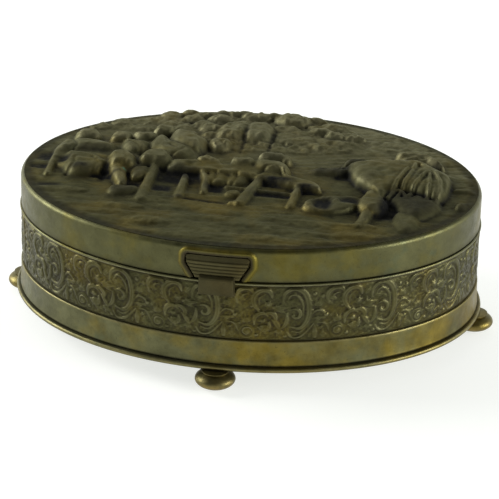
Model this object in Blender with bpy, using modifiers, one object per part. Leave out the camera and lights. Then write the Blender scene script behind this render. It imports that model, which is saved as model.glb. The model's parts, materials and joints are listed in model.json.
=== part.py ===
"""Oval needle case: a small embossed brass casket on four bun feet.

The lid turns on a five-knuckle hinge at the back.  A push catch rocks in a window
in the front of the lid.  Units are metres, +Z is up and the front faces -Y.
The origin is on the ground under the middle of the case.
"""

import bpy
import bmesh
import math
from mathutils import Matrix

MM = 0.001

# Driving dimensions -------------------------------------------------------------
CASE_HALF_X = 59.0 * MM        # half length of the oval, at the lid's plain rim
CASE_HALF_Y = 46.0 * MM        # half width of the oval
OVAL_STEPS = 64                # flats around every oval ring
GAP = 0.3 * MM                 # clearance between pieces that touch

FOOT_RADIUS = 5.0 * MM
FOOT_HEIGHT = 4.7 * MM
FOOT_FLAT_RADIUS = 1.6 * MM

BASE_BOTTOM = FOOT_HEIGHT + GAP
BASE_THICK = 1.2 * MM
BASE_LIP = 1.5 * MM            # how far the base flange stands out past the lid
PLINTH_BOTTOM = BASE_BOTTOM + BASE_THICK + GAP
PLINTH_TOP = 13.0 * MM
BAND_BOTTOM = PLINTH_TOP + 0.2 * MM
BAND_TOP = 27.4 * MM
BEAD_BOTTOM = BAND_TOP + 0.2 * MM
BEAD_TOP = 28.4 * MM
BODY_SKIN = 0.65 * MM          # inner face of the plinth, band and bead

SLEEVE_OUT = -0.95 * MM
SLEEVE_IN = -1.45 * MM
SLEEVE_TOP = 30.4 * MM

LID_BOTTOM = 28.6 * MM
LID_TOP = 37.0 * MM
LID_WALL = 0.6 * MM
LIP_BOTTOM = 35.8 * MM
LIP_TOP = 36.3 * MM
LIP_REACH = 3.4 * MM
PLAQUE_INSET = 0.9 * MM
PLAQUE_SHEET = 0.6 * MM
PLAQUE_EDGE_TOP = 37.1 * MM
PLAQUE_CROWN = 0.8 * MM

HINGE_Y = 48.1 * MM
HINGE_Z = 28.5 * MM
KNUCKLE_RADIUS = 1.5 * MM
HINGE_BORE = 0.73 * MM
HINGE_PIN = 0.65 * MM
HINGE_HALF_LENGTH = 13.0 * MM
LEAF_BACK = 47.3 * MM          # outer face of both hinge leaves
LEAF_HEIGHT = 4.7 * MM

CATCH_Y = -43.7 * MM
CATCH_Z = 29.9 * MM
CATCH_BARREL = 1.0 * MM
CATCH_BARREL_HALF = 7.3 * MM
CATCH_BORE = 0.60 * MM
CATCH_PIN = 0.52 * MM
LUG_INNER = 7.7 * MM
LUG_OUTER = 8.9 * MM
RIB_PITCH = 0.84 * MM
RIB_COUNT = 5

CUSHION_INSET = 3.0 * MM

# Colours ------------------------------------------------------------------------
DARK_BRONZE = (0.075, 0.070, 0.035)
OLIVE_BRASS = (0.170, 0.165, 0.085)
WORN_GOLD = (0.260, 0.200, 0.070)
STEEL = (0.350, 0.340, 0.310)
VELVET = (0.110, 0.020, 0.030)
CARD = (0.420, 0.360, 0.270)


def clear_scene():
    for obj in list(bpy.data.objects):
        bpy.data.objects.remove(obj, do_unlink=True)


def new_collection(name):
    collection = bpy.data.collections.new(name)
    bpy.context.scene.collection.children.link(collection)
    return collection


def new_material(name, colour, roughness, metallic):
    material = bpy.data.materials.new(name)
    material.use_nodes = True
    shader = material.node_tree.nodes["Principled BSDF"]
    shader.inputs["Base Color"].default_value = (*colour, 1.0)
    shader.inputs["Roughness"].default_value = roughness
    shader.inputs["Metallic"].default_value = metallic
    return material


def link_part(obj, colour, roughness=0.42, metallic=1.0):
    """Put a finished object in the case's collection with its own material."""
    PARTS.objects.link(obj)
    obj.data.materials.clear()
    obj.data.materials.append(new_material(obj.name + "_finish", colour, roughness, metallic))
    if obj.type == "MESH":
        obj.data.shade_smooth()
        obj.data.set_sharp_from_angle(angle=math.radians(35))
    return obj


def link_tool(obj):
    """Put a cutter or a piece to be joined in the cutters' collection."""
    TOOLS.objects.link(obj)
    obj.hide_render = True
    obj.display_type = "WIRE"
    return obj


def combine(obj, other, operation):
    modifier = obj.modifiers.new(operation.title(), "BOOLEAN")
    modifier.operation = operation
    modifier.solver = "EXACT"
    modifier.object = other


def mesh_from_bmesh(name, bm):
    bmesh.ops.remove_doubles(bm, verts=bm.verts, dist=1e-7)
    bmesh.ops.recalc_face_normals(bm, faces=bm.faces)
    mesh = bpy.data.meshes.new(name)
    bm.to_mesh(mesh)
    bm.free()
    return bpy.data.objects.new(name, mesh)


def mesh_from_curve(name, curve_obj, helpers=()):
    """Turn a curve into a closed, welded mesh object and drop the curve."""
    bpy.context.scene.collection.objects.link(curve_obj)
    bpy.context.view_layer.update()
    graph = bpy.context.evaluated_depsgraph_get()
    mesh = bpy.data.meshes.new_from_object(curve_obj.evaluated_get(graph))
    bm = bmesh.new()
    bm.from_mesh(mesh)
    obj = mesh_from_bmesh(name, bm)
    obj.matrix_world = curve_obj.matrix_world.copy()
    for used in (curve_obj, *helpers):
        bpy.data.objects.remove(used, do_unlink=True)
    return obj


# Shapes -------------------------------------------------------------------------
def arc(centre_u, centre_v, radius_u, radius_v, start_deg, end_deg, steps):
    """Points along an elliptical arc, both ends included."""
    points = []
    for step in range(steps + 1):
        angle = math.radians(start_deg + (end_deg - start_deg) * step / steps)
        points.append((centre_u + radius_u * math.cos(angle), centre_v + radius_v * math.sin(angle)))
    return points


def poly_curve(name, points):
    """A closed flat outline through the given points."""
    curve = bpy.data.curves.new(name, "CURVE")
    curve.dimensions = "2D"
    spline = curve.splines.new("POLY")
    spline.points.add(len(points) - 1)
    for point, (u, v) in zip(spline.points, points):
        point.co = (u, v, 0.0, 1.0)
    spline.use_cyclic_u = True
    return bpy.data.objects.new(name, curve)


def oval_curve(name, half_x, half_y, steps=OVAL_STEPS):
    """A closed Bezier oval that runs anticlockwise seen from above."""
    curve = bpy.data.curves.new(name, "CURVE")
    curve.dimensions = "2D"
    curve.resolution_u = steps // 4
    curve.render_resolution_u = 0
    spline = curve.splines.new("BEZIER")
    spline.bezier_points.add(3)
    reach = 0.5522847
    for index, point in enumerate(spline.bezier_points):
        c = round(math.cos(index * math.pi / 2))
        s = round(math.sin(index * math.pi / 2))
        point.handle_left_type = "FREE"
        point.handle_right_type = "FREE"
        point.co = (half_x * c, half_y * s, 0.0)
        point.handle_left = (half_x * (c + reach * s), half_y * (s - reach * c), 0.0)
        point.handle_right = (half_x * (c - reach * s), half_y * (s + reach * c), 0.0)
    spline.use_cyclic_u = True
    return bpy.data.objects.new(name, curve)


def oval_ring(name, profile):
    """Sweep a closed (outward, up) profile once around the case's oval."""
    section = poly_curve(name + "_section", [(-outward, up) for outward, up in profile])
    path = oval_curve(name + "_path", CASE_HALF_X, CASE_HALF_Y)
    path.data.fill_mode = "NONE"
    path.data.bevel_mode = "OBJECT"
    path.data.bevel_object = section
    return mesh_from_curve(name, path, [section])


def oval_plate(name, offset, bottom, top, edge_width=0.0, edge_steps=2):
    """A flat oval plate, its rim eased by a bevel."""
    outline = oval_curve(name + "_outline", CASE_HALF_X + offset, CASE_HALF_Y + offset)
    outline.data.fill_mode = "BOTH"
    outline.data.extrude = (top - bottom) / 2
    obj = mesh_from_curve(name, outline)
    obj.location.z = (top + bottom) / 2
    if edge_width:
        bevel = obj.modifiers.new("Edge", "BEVEL")
        bevel.width = edge_width
        bevel.segments = edge_steps
        bevel.limit_method = "ANGLE"
        bevel.angle_limit = math.radians(50)
    return obj


def turned(name, profile, steps):
    """Turn an (outward, up) profile, listed top to bottom, about the vertical axis."""
    mesh = bpy.data.meshes.new(name)
    mesh.from_pydata([(u, 0.0, v) for u, v in profile], [(i, i + 1) for i in range(len(profile) - 1)], [])
    obj = bpy.data.objects.new(name, mesh)
    screw = obj.modifiers.new("Turn", "SCREW")
    screw.axis = "Z"
    screw.steps = steps
    screw.render_steps = steps
    screw.use_merge_vertices = True
    screw.merge_threshold = 0.00001
    screw.use_smooth_shade = True
    return obj


def prism_xz(name, outline, near_y, far_y):
    """A prism whose (x, z) outline runs from near_y to far_y."""
    flat = poly_curve(name + "_flat", outline)
    flat.data.fill_mode = "BOTH"
    flat.data.extrude = abs(far_y - near_y) / 2
    middle = Matrix.Translation((0.0, (near_y + far_y) / 2, 0.0))
    flat.matrix_world = middle @ Matrix.Rotation(math.radians(90), 4, "X")
    return mesh_from_curve(name, flat)


def block(name, low, high):
    """A box between two corners."""
    bm = bmesh.new()
    bmesh.ops.create_cube(bm, size=1.0)
    size = [b - a for a, b in zip(low, high)]
    middle = [(a + b) / 2 for a, b in zip(low, high)]
    bmesh.ops.scale(bm, vec=size, verts=bm.verts)
    obj = mesh_from_bmesh(name, bm)
    obj.location = middle
    return obj


def rod(name, radius, x_start, x_end, y, z, sides=24):
    """A cylinder that lies along X."""
    bm = bmesh.new()
    bmesh.ops.create_cone(bm, cap_ends=True, segments=sides, radius1=radius, radius2=radius,
                          depth=x_end - x_start)
    bmesh.ops.rotate(bm, cent=(0, 0, 0), matrix=Matrix.Rotation(math.radians(90), 3, "Y"), verts=bm.verts)
    obj = mesh_from_bmesh(name, bm)
    obj.location = ((x_start + x_end) / 2, y, z)
    return obj


def mirrored_outline(right_side):
    """Close an outline given as its right half, bottom to top."""
    return right_side + [(-x, z) for x, z in reversed(right_side)]


# Case body ----------------------------------------------------------------------
def make_feet():
    """Four turned bun feet, soldered under the ends and the long sides of the base."""
    centre = 2.4 * MM
    flat_angle = math.degrees(math.acos(FOOT_FLAT_RADIUS / FOOT_RADIUS))
    bulge = centre / math.sin(math.radians(flat_angle))
    profile = [(0.0, FOOT_HEIGHT), (4.4 * MM, FOOT_HEIGHT), (4.4 * MM, 4.35 * MM)]
    profile += arc(0.0, centre, FOOT_RADIUS, bulge, 40, -flat_angle, 7)
    profile += [(0.0, 0.0)]
    places = {
        "foot_front": (0.0, -CASE_HALF_Y),
        "foot_back": (0.0, CASE_HALF_Y),
        "foot_left": (-CASE_HALF_X, 0.0),
        "foot_right": (CASE_HALF_X, 0.0),
    }
    for name, (x, y) in places.items():
        foot = turned(name, profile, 20)
        foot.location = (x, y, 0.0)
        link_part(foot, DARK_BRONZE)


def make_base_plate():
    plate = oval_plate("base_plate", BASE_LIP, BASE_BOTTOM, BASE_BOTTOM + BASE_THICK, 0.45 * MM)
    link_part(plate, WORN_GOLD)


def make_plinth_ring():
    """Plain ring that flares a little towards the base."""
    hollow = arc(0.6 * MM, PLINTH_TOP - 0.5 * MM, 0.3 * MM, PLINTH_TOP - PLINTH_BOTTOM - 0.5 * MM, 270, 180, 3)
    profile = [(-BODY_SKIN, PLINTH_TOP), (-BODY_SKIN, PLINTH_BOTTOM)] + hollow
    profile += [(0.3 * MM, PLINTH_TOP)]
    link_part(oval_ring("plinth_ring", profile), OLIVE_BRASS)


def make_embossed_band():
    """Sheet band that carries the scrollwork, with a small fold along each edge."""
    fold = 0.5 * MM
    profile = [
        (-BODY_SKIN, BAND_TOP),
        (-BODY_SKIN, BAND_BOTTOM),
        (0.25 * MM, BAND_BOTTOM),
        (0.25 * MM, BAND_BOTTOM + fold),
        (0.1 * MM, BAND_BOTTOM + 2 * fold),
        (0.1 * MM, BAND_TOP - 2 * fold),
        (0.25 * MM, BAND_TOP - fold),
        (0.25 * MM, BAND_TOP),
    ]
    link_part(oval_ring("embossed_band", profile), DARK_BRONZE)


def make_bead_ring():
    """Half-round bead that closes the body just under the lid."""
    middle = (BEAD_BOTTOM + BEAD_TOP) / 2
    half = (BEAD_TOP - BEAD_BOTTOM) / 2
    profile = [(-BODY_SKIN, BEAD_TOP), (-BODY_SKIN, BEAD_BOTTOM)]
    profile += arc(-0.05 * MM, middle, 0.4 * MM, half, -90, 90, 3)
    link_part(oval_ring("bead_ring", profile), OLIVE_BRASS)


def make_inner_sleeve():
    """Thin liner that stands up past the seam and locates the lid."""
    profile = [
        (SLEEVE_IN, SLEEVE_TOP),
        (SLEEVE_IN, PLINTH_BOTTOM),
        (SLEEVE_OUT, PLINTH_BOTTOM),
        (SLEEVE_OUT, SLEEVE_TOP),
    ]
    sleeve = oval_ring("inner_sleeve", profile)
    notch_half = 9.6 * MM
    notch = block("sleeve_notch", (-notch_half, -50 * MM, 28.2 * MM), (notch_half, -38 * MM, 34 * MM))
    combine(sleeve, link_tool(notch), "DIFFERENCE")
    link_part(sleeve, OLIVE_BRASS)


def make_body_lining():
    """Card floor, crowned velvet cushion for the needles, and padded wall lining."""
    card_bottom = PLINTH_BOTTOM
    card_top = card_bottom + 1.0 * MM
    link_part(oval_plate("floor_card", -1.8 * MM, card_bottom, card_top), CARD, 0.9, 0.0)
    pad_bottom = card_top + 0.2 * MM
    make_cushion("needle_cushion", pad_bottom, 10.4 * MM, 13.0 * MM)
    profile = [
        (-2.65 * MM, 27.6 * MM),
        (-2.65 * MM, pad_bottom),
        (-1.75 * MM, pad_bottom),
        (-1.75 * MM, 27.6 * MM),
    ]
    link_part(oval_ring("wall_lining", profile), VELVET, 0.95, 0.0)


def make_cushion(name, flat_side, shoulder, crown):
    """Oval pad: a turned profile stretched to the oval, flat on one side and crowned on the other."""
    side = 0.6 * shoulder + 0.4 * flat_side
    profile = [(0.0, crown), (0.35, crown - 0.07 * (crown - shoulder)), (0.7, crown - 0.4 * (crown - shoulder))]
    profile += [(0.93, shoulder), (1.0, side), (0.97, flat_side), (0.0, flat_side)]
    if crown < flat_side:
        profile.reverse()
    pad = turned(name, profile, 40)
    pad.scale = (CASE_HALF_X - CUSHION_INSET, CASE_HALF_Y - CUSHION_INSET, 1.0)
    link_part(pad, VELVET, 0.95, 0.0)


# Lid ----------------------------------------------------------------------------
def window_outline(grow, bottom):
    """The catch's window: straight at the top, tapering towards the seam."""
    corner = 1.0 * MM
    half_top = 8.1 * MM + grow
    half_bottom = 5.9 * MM + grow
    top = 35.0 * MM + grow
    right = [(half_bottom, bottom), (half_bottom, 28.6 * MM), (half_top, 32.3 * MM)]
    right += arc(half_top - corner, top - corner, corner, corner, 0, 90, 4)
    return mirrored_outline(right)


def make_lid_rim():
    """Plain upright rim, rounded over at the top, with an inner lip under the plaque."""
    shoulder = 36.2 * MM
    profile = [(-LID_WALL, LID_TOP), (-LID_WALL, LIP_TOP), (-LIP_REACH, LIP_TOP), (-LIP_REACH, LIP_BOTTOM)]
    profile += [(-LID_WALL, LIP_BOTTOM), (-LID_WALL, LID_BOTTOM), (0.0, LID_BOTTOM)]
    profile += arc(-LID_WALL, shoulder, LID_WALL, LID_TOP - shoulder, 0, 68, 3)
    rim = oval_ring("lid_rim", profile)
    window = prism_xz("window_cutter", window_outline(0.0, 20 * MM), -52 * MM, -44.5 * MM)
    combine(rim, link_tool(window), "DIFFERENCE")
    link_part(rim, OLIVE_BRASS)


# The plaque's scene in the round: name, centre, half sizes, turn in degrees, height.
RELIEF_MASSES = [
    ("left_mound", -45, 13, 8, 12, 0, 1.5),
    ("bent_figure", -43, 3, 6, 9, 20, 2.2),
    ("seated_figures", -31, 23, 9, 7, -20, 1.7),
    ("standing_back", -20, 19, 6, 10, -15, 2.3),
    ("leaning_figure", -32, -5, 5, 13, 15, 2.6),
    ("plank", -2, -2, 22, 3, -13, 1.7),
    ("trestle_left", -25, -12, 3, 9, 0, 1.3),
    ("trestle_right", 12, -12, 3, 8, 0, 1.3),
    ("bundle", 5, 7, 6, 8, 0, 1.8),
    ("haystack", -5, 29, 8, 9, 0, 2.2),
    ("tree_row", -6, 39, 19, 5, 0, 1.6),
    ("shrubs", 17, 33, 8, 5, 0, 1.4),
    ("stooping_figure", 38, 4, 9, 17, -8, 2.9),
    ("stooping_leg", 30, -14, 4, 10, 0, 1.6),
    ("basket", 22, -15, 5, 5, 0, 1.2),
    ("bank", 42, 24, 10, 6, -35, 0.8),
    ("ground", 0, -30, 38, 10, 0, 0.7),
]


def relief_height(x, y):
    """Height of the embossed scene at a point, in metres: the tallest mass there."""
    height = 0.0
    for _, centre_x, centre_y, half_x, half_y, turn, rise in RELIEF_MASSES:
        angle = math.radians(turn)
        along = (x / MM - centre_x) * math.cos(angle) + (y / MM - centre_y) * math.sin(angle)
        across = (y / MM - centre_y) * math.cos(angle) - (x / MM - centre_x) * math.sin(angle)
        distance = (along / half_x) ** 2 + (across / half_y) ** 2
        if distance < 1.0:
            height = max(height, rise * MM * (1.0 - distance) ** 0.7)
    return height


def make_lid_plaque():
    """Repousse sheet: a crowned oval pushed up into figures, trees and ground."""
    columns, rows = 26, 20
    half_x = CASE_HALF_X - PLAQUE_INSET
    half_y = CASE_HALF_Y - PLAQUE_INSET
    bm = bmesh.new()
    bmesh.ops.create_grid(bm, x_segments=columns, y_segments=rows, size=1.0)
    for vert in bm.verts:
        u, v = vert.co.x, vert.co.y
        x = half_x * u * math.sqrt(1.0 - v * v / 2)
        y = half_y * v * math.sqrt(1.0 - u * u / 2)
        radius = math.hypot(x / half_x, y / half_y)
        fade = min(1.0, (1.0 - radius) / 0.10)
        z = PLAQUE_EDGE_TOP + PLAQUE_CROWN * (1.0 - radius ** 2) + max(0.0, fade) * relief_height(x, y)
        vert.co = (x, y, z)
    plaque = mesh_from_bmesh("lid_plaque", bm)
    sheet = plaque.modifiers.new("Sheet", "SOLIDIFY")
    sheet.thickness = PLAQUE_SHEET
    sheet.offset = -1.0
    link_part(plaque, DARK_BRONZE)


def make_lid_lining():
    card_top = LIP_BOTTOM - GAP
    card_bottom = card_top - 0.8 * MM
    link_part(oval_plate("lid_card", -2.6 * MM, card_bottom, card_top), CARD, 0.9, 0.0)
    make_cushion("lid_cushion", card_bottom - GAP, 33.0 * MM, 31.5 * MM)


# Hinge --------------------------------------------------------------------------
def knuckle_spans():
    """Start and end of each of the five knuckles; body and lid take turns."""
    edges = [-13.0, -8.05, -2.55, 2.55, 8.05, 13.0]
    spans = []
    for start, end in zip(edges, edges[1:]):
        inner_start = start if start == edges[0] else start + 0.15
        inner_end = end if end == edges[-1] else end - 0.15
        spans.append((inner_start * MM, inner_end * MM))
    return spans


def make_hinge_leaf(name, bottom, top, own_parity):
    """One leaf: its back follows the oval wall, and its own knuckles are joined to it."""
    leaf = block(name, (-HINGE_HALF_LENGTH, 43 * MM, bottom), (HINGE_HALF_LENGTH, LEAF_BACK, top))
    wall_profile = [
        (0.42 * MM, bottom - 2 * MM),
        (0.42 * MM, top + 2 * MM),
        (-9 * MM, top + 2 * MM),
        (-9 * MM, bottom - 2 * MM),
    ]
    combine(leaf, link_tool(oval_ring(name + "_wall", wall_profile)), "DIFFERENCE")
    spans = knuckle_spans()
    room = GAP + 0.05 * MM
    for start, end in spans[1 - own_parity::2]:
        relief = rod(name + "_relief", KNUCKLE_RADIUS + GAP, start - room, end + room, HINGE_Y, HINGE_Z)
        combine(leaf, link_tool(relief), "DIFFERENCE")
    for start, end in spans[own_parity::2]:
        barrel = rod(name + "_barrel", KNUCKLE_RADIUS, start, end, HINGE_Y, HINGE_Z)
        combine(leaf, link_tool(barrel), "UNION")
    bore = rod(name + "_bore", HINGE_BORE, -15 * MM, 15 * MM, HINGE_Y, HINGE_Z)
    combine(leaf, link_tool(bore), "DIFFERENCE")
    link_part(leaf, OLIVE_BRASS)


def make_hinge():
    body_top = HINGE_Z - GAP
    lid_bottom = HINGE_Z + GAP
    make_hinge_leaf("hinge_leaf_body", body_top - LEAF_HEIGHT, body_top, 0)
    make_hinge_leaf("hinge_leaf_lid", lid_bottom, lid_bottom + LEAF_HEIGHT, 1)
    end = HINGE_HALF_LENGTH + 0.2 * MM
    link_part(rod("hinge_pin", HINGE_PIN, -end, end, HINGE_Y, HINGE_Z), STEEL)


# Push catch ---------------------------------------------------------------------
def make_catch_bezel():
    """Raised border around the window, on its top and sides."""
    profile = [(0.15 * MM, 27 * MM), (0.55 * MM, 27 * MM), (0.55 * MM, 38 * MM), (0.15 * MM, 38 * MM)]
    bezel = oval_ring("catch_bezel", profile)
    outer = window_outline(0.75 * MM, 28.7 * MM)
    keep = prism_xz("bezel_outer", outer, -52 * MM, -44.0 * MM)
    combine(bezel, link_tool(keep), "INTERSECT")
    opening = prism_xz("bezel_opening", window_outline(0.05 * MM, 20 * MM), -53 * MM, -43.0 * MM)
    combine(bezel, link_tool(opening), "DIFFERENCE")
    link_part(bezel, WORN_GOLD)


def ribbed_profile():
    """The bar's section: a plain inner face and a row of rounded ribs outside."""
    top = 33.4 * MM
    points = [(-0.3 * MM, top), (-0.3 * MM, 28.9 * MM), (0.4 * MM, 28.9 * MM)]
    for rib in range(RIB_COUNT):
        middle = top - RIB_PITCH * (RIB_COUNT - rib - 0.5)
        points += arc(0.35 * MM, middle, 0.35 * MM, 0.46 * RIB_PITCH, -90, 90, 3)
    return points


def make_catch_rocker():
    """Ribbed bar in the window, tab over the seam, and a barrel behind on its pin."""
    rocker = oval_ring("catch_rocker", ribbed_profile())
    bar_right = [(4.6 * MM, 28.0 * MM), (4.9 * MM, 29.3 * MM), (7.3 * MM, 32.6 * MM), (7.3 * MM, 34.5 * MM)]
    bar = prism_xz("bar_outline", mirrored_outline(bar_right), -52 * MM, -43.5 * MM)
    combine(rocker, link_tool(bar), "INTERSECT")

    tab_section = [
        (0.65 * MM, 24.5 * MM),
        (1.65 * MM, 24.5 * MM),
        (1.65 * MM, 29.2 * MM),
        (1.20 * MM, 29.8 * MM),
        (0.10 * MM, 29.8 * MM),
        (0.10 * MM, 29.0 * MM),
        (0.65 * MM, 28.7 * MM),
    ]
    tab = oval_ring("tab", tab_section)
    tab_right = [(4.6 * MM, 24.0 * MM), (4.6 * MM, 25.3 * MM), (4.05 * MM, 25.9 * MM), (4.05 * MM, 30.5 * MM)]
    tab_outline = prism_xz("tab_outline", mirrored_outline(tab_right), -52 * MM, -43.5 * MM)
    combine(tab, link_tool(tab_outline), "INTERSECT")
    combine(rocker, link_tool(tab), "UNION")

    web = block("catch_web", (-3.9 * MM, -46.0 * MM, 29.2 * MM), (3.9 * MM, CATCH_Y, 30.6 * MM))
    combine(rocker, link_tool(web), "UNION")
    barrel = rod("catch_barrel", CATCH_BARREL, -CATCH_BARREL_HALF, CATCH_BARREL_HALF, CATCH_Y, CATCH_Z)
    combine(rocker, link_tool(barrel), "UNION")
    bore = rod("catch_bore", CATCH_BORE, -12 * MM, 12 * MM, CATCH_Y, CATCH_Z)
    combine(rocker, link_tool(bore), "DIFFERENCE")
    link_part(rocker, OLIVE_BRASS)


def make_catch_mounting():
    """Two lugs inside the lid, the pin that the rocker turns on, and its leaf spring."""
    bore = link_tool(rod("lug_bore", CATCH_BORE, -12 * MM, 12 * MM, CATCH_Y, CATCH_Z))
    for name, side in (("catch_lug_left", -1), ("catch_lug_right", 1)):
        near, far = sorted((side * LUG_INNER, side * LUG_OUTER))
        lug = block(name, (near, -44.6 * MM, 28.8 * MM), (far, -42.7 * MM, 31.0 * MM))
        combine(lug, bore, "DIFFERENCE")
        link_part(lug, OLIVE_BRASS)
    end = LUG_OUTER + 0.2 * MM
    link_part(rod("catch_pin", CATCH_PIN, -end, end, CATCH_Y, CATCH_Z), STEEL)

    leaf_half = 2.5 * MM
    route = [(-43.6, 35.5), (-44.8, 35.5), (-45.0, 35.2), (-44.6, 34.0), (-45.3, 32.5), (-45.1, 31.9)]
    bm = bmesh.new()
    left = [bm.verts.new((-leaf_half, y * MM, z * MM)) for y, z in route]
    right = [bm.verts.new((leaf_half, y * MM, z * MM)) for y, z in route]
    for i in range(len(route) - 1):
        bm.faces.new((left[i], right[i], right[i + 1], left[i + 1]))
    spring = mesh_from_bmesh("catch_spring", bm)
    sheet = spring.modifiers.new("Leaf", "SOLIDIFY")
    sheet.thickness = 0.2 * MM
    sheet.offset = 0.0
    link_part(spring, STEEL)


clear_scene()
PARTS = new_collection("needle_case")
TOOLS = new_collection("needle_case_cutters")
make_feet()
make_base_plate()
make_plinth_ring()
make_embossed_band()
make_bead_ring()
make_inner_sleeve()
make_body_lining()
make_lid_rim()
make_lid_plaque()
make_lid_lining()
make_hinge()
make_catch_bezel()
make_catch_rocker()
make_catch_mounting()
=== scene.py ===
import json
import math

import bmesh
import bpy
import numpy as np
from mathutils import Matrix, Vector


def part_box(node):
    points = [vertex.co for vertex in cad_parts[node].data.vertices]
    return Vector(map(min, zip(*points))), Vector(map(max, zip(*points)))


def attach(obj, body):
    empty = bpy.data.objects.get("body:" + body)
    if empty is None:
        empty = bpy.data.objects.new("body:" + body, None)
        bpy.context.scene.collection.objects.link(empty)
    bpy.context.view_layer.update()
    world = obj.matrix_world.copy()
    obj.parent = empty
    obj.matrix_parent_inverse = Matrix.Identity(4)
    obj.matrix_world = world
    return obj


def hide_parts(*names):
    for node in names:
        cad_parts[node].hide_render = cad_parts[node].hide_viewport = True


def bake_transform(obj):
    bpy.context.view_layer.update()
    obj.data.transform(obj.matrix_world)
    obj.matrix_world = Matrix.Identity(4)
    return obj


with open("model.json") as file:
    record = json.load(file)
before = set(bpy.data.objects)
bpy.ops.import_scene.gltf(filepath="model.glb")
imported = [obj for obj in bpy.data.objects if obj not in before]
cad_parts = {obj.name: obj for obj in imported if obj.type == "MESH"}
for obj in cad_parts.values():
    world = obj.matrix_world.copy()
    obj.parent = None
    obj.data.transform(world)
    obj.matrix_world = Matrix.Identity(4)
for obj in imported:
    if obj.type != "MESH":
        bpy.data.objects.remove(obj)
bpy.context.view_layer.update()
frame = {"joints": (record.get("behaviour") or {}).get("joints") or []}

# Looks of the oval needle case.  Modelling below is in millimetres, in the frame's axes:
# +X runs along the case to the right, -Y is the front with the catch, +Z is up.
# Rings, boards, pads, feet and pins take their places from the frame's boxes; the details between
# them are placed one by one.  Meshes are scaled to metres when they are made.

MM = 0.001


def box_mm(node):
    """A CAD node's low and high corners."""
    low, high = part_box(node)
    return Vector(low) / MM, Vector(high) / MM


RIM_LOW, RIM_HIGH = box_mm("lid_rim")
PLAQUE_LOW, PLAQUE_HIGH = box_mm("lid_plaque")
BAND_LOW, BAND_HIGH = box_mm("embossed_band")
BEAD_LOW, BEAD_HIGH = box_mm("bead_ring")
PLINTH_LOW, PLINTH_HIGH = box_mm("plinth_ring")
BASE_LOW, BASE_HIGH = box_mm("base_plate")
SLEEVE_LOW, SLEEVE_HIGH = box_mm("inner_sleeve")
ROCKER_LOW, ROCKER_HIGH = box_mm("catch_rocker")
HALF_X = RIM_HIGH.x                     # half length of the oval at the lid's rim
HALF_Y = RIM_HIGH.y                     # half width

OVAL_STEPS = 512                        # points round each plain ring
FRONT_STEPS = 40                        # points across the face of the catch's bar and tab
BAND_STEPS = 1536                       # points round the embossed band
SHOULDER = 1.3                          # radius that rounds the lid rim's top edge
SCROLL_REPEATS = 15                     # cartouches round the band
SCROLL_START = -6.0                     # where the first cartouche is centred, right of the front


# --- The oval -------------------------------------------------------------------
def oval_samples(count):
    """Evenly spaced points round the oval, anticlockwise from the front centre,
    with outward normals and the distance walked so far."""
    turn = np.linspace(0.0, 2.0 * math.pi, 20001)
    x = HALF_X * np.sin(turn)
    y = -HALF_Y * np.cos(turn)
    walked = np.concatenate([[0.0], np.cumsum(np.hypot(np.diff(x), np.diff(y)))])
    distance = np.linspace(0.0, walked[-1], count, endpoint=False)
    at = np.interp(distance, walked, turn)
    points = np.stack([HALF_X * np.sin(at), -HALF_Y * np.cos(at)], -1)
    normals = np.stack([np.sin(at) / HALF_X, -np.cos(at) / HALF_Y], -1)
    normals /= np.linalg.norm(normals, axis=-1, keepdims=True)
    return points, normals, distance, walked[-1]


def front_y(x):
    """The oval's front wall at x."""
    return -HALF_Y * np.sqrt(1.0 - (x / HALF_X) ** 2)


def value_noise(rows, cols, cells_down, cells_across, seed, wrap_cols=False):
    """Smooth noise between -1 and 1 on a grid, from a coarse lattice of random values."""
    rng = np.random.default_rng(seed)
    lattice = rng.uniform(-1.0, 1.0, (cells_down + 2, cells_across + 2))
    if wrap_cols:
        lattice[:, cells_across] = lattice[:, 0]
        lattice[:, cells_across + 1] = lattice[:, 1]
    down = np.linspace(0, cells_down, rows)
    across = np.linspace(0, cells_across, cols, endpoint=not wrap_cols)
    i = np.minimum(down.astype(int), cells_down)
    j = np.minimum(across.astype(int), cells_across)
    f = (down - i)[:, None]
    g = (across - j)[None, :]
    f = f * f * (3 - 2 * f)
    g = g * g * (3 - 2 * g)
    top = lattice[i][:, j] * (1 - g) + lattice[i][:, j + 1] * g
    low = lattice[i + 1][:, j] * (1 - g) + lattice[i + 1][:, j + 1] * g
    return top * (1 - f) + low * f


def blur(field, radius):
    """Gaussian-like blur: three passes of a moving average of the given radius in cells."""
    radius = max(1, int(round(radius)))
    width = 2 * radius + 1
    for _ in range(3):
        for axis in (0, 1):
            pad = [(radius + 1, radius) if a == axis else (0, 0) for a in (0, 1)]
            total = np.cumsum(np.pad(field, pad, mode="edge"), axis=axis)
            ahead = np.take(total, range(width, total.shape[axis]), axis=axis)
            behind = np.take(total, range(0, total.shape[axis] - width), axis=axis)
            field = (ahead - behind) / width
    return field


# --- Meshes ---------------------------------------------------------------------
def grid_mesh(name, points, wrap_rows=False, wrap_cols=False, cap_rows=(), layers=None):
    """A mesh on a grid of points in millimetres, with optional caps on its end rows."""
    rows, cols = points.shape[:2]
    index = np.arange(rows * cols).reshape(rows, cols)
    caps = [index[row].tolist() for row in cap_rows]
    if wrap_rows:
        index = np.vstack([index, index[:1]])
    if wrap_cols:
        index = np.hstack([index, index[:, :1]])
    quads = np.stack([index[:-1, :-1], index[:-1, 1:], index[1:, 1:], index[1:, :-1]], -1)
    mesh = bpy.data.meshes.new(name)
    mesh.from_pydata((points.reshape(-1, 3) * MM).tolist(), [], quads.reshape(-1, 4).tolist() + caps)
    for layer, values in (layers or {}).items():
        add_layer(mesh, layer, values)
    face_outward(mesh)
    return mesh


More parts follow.
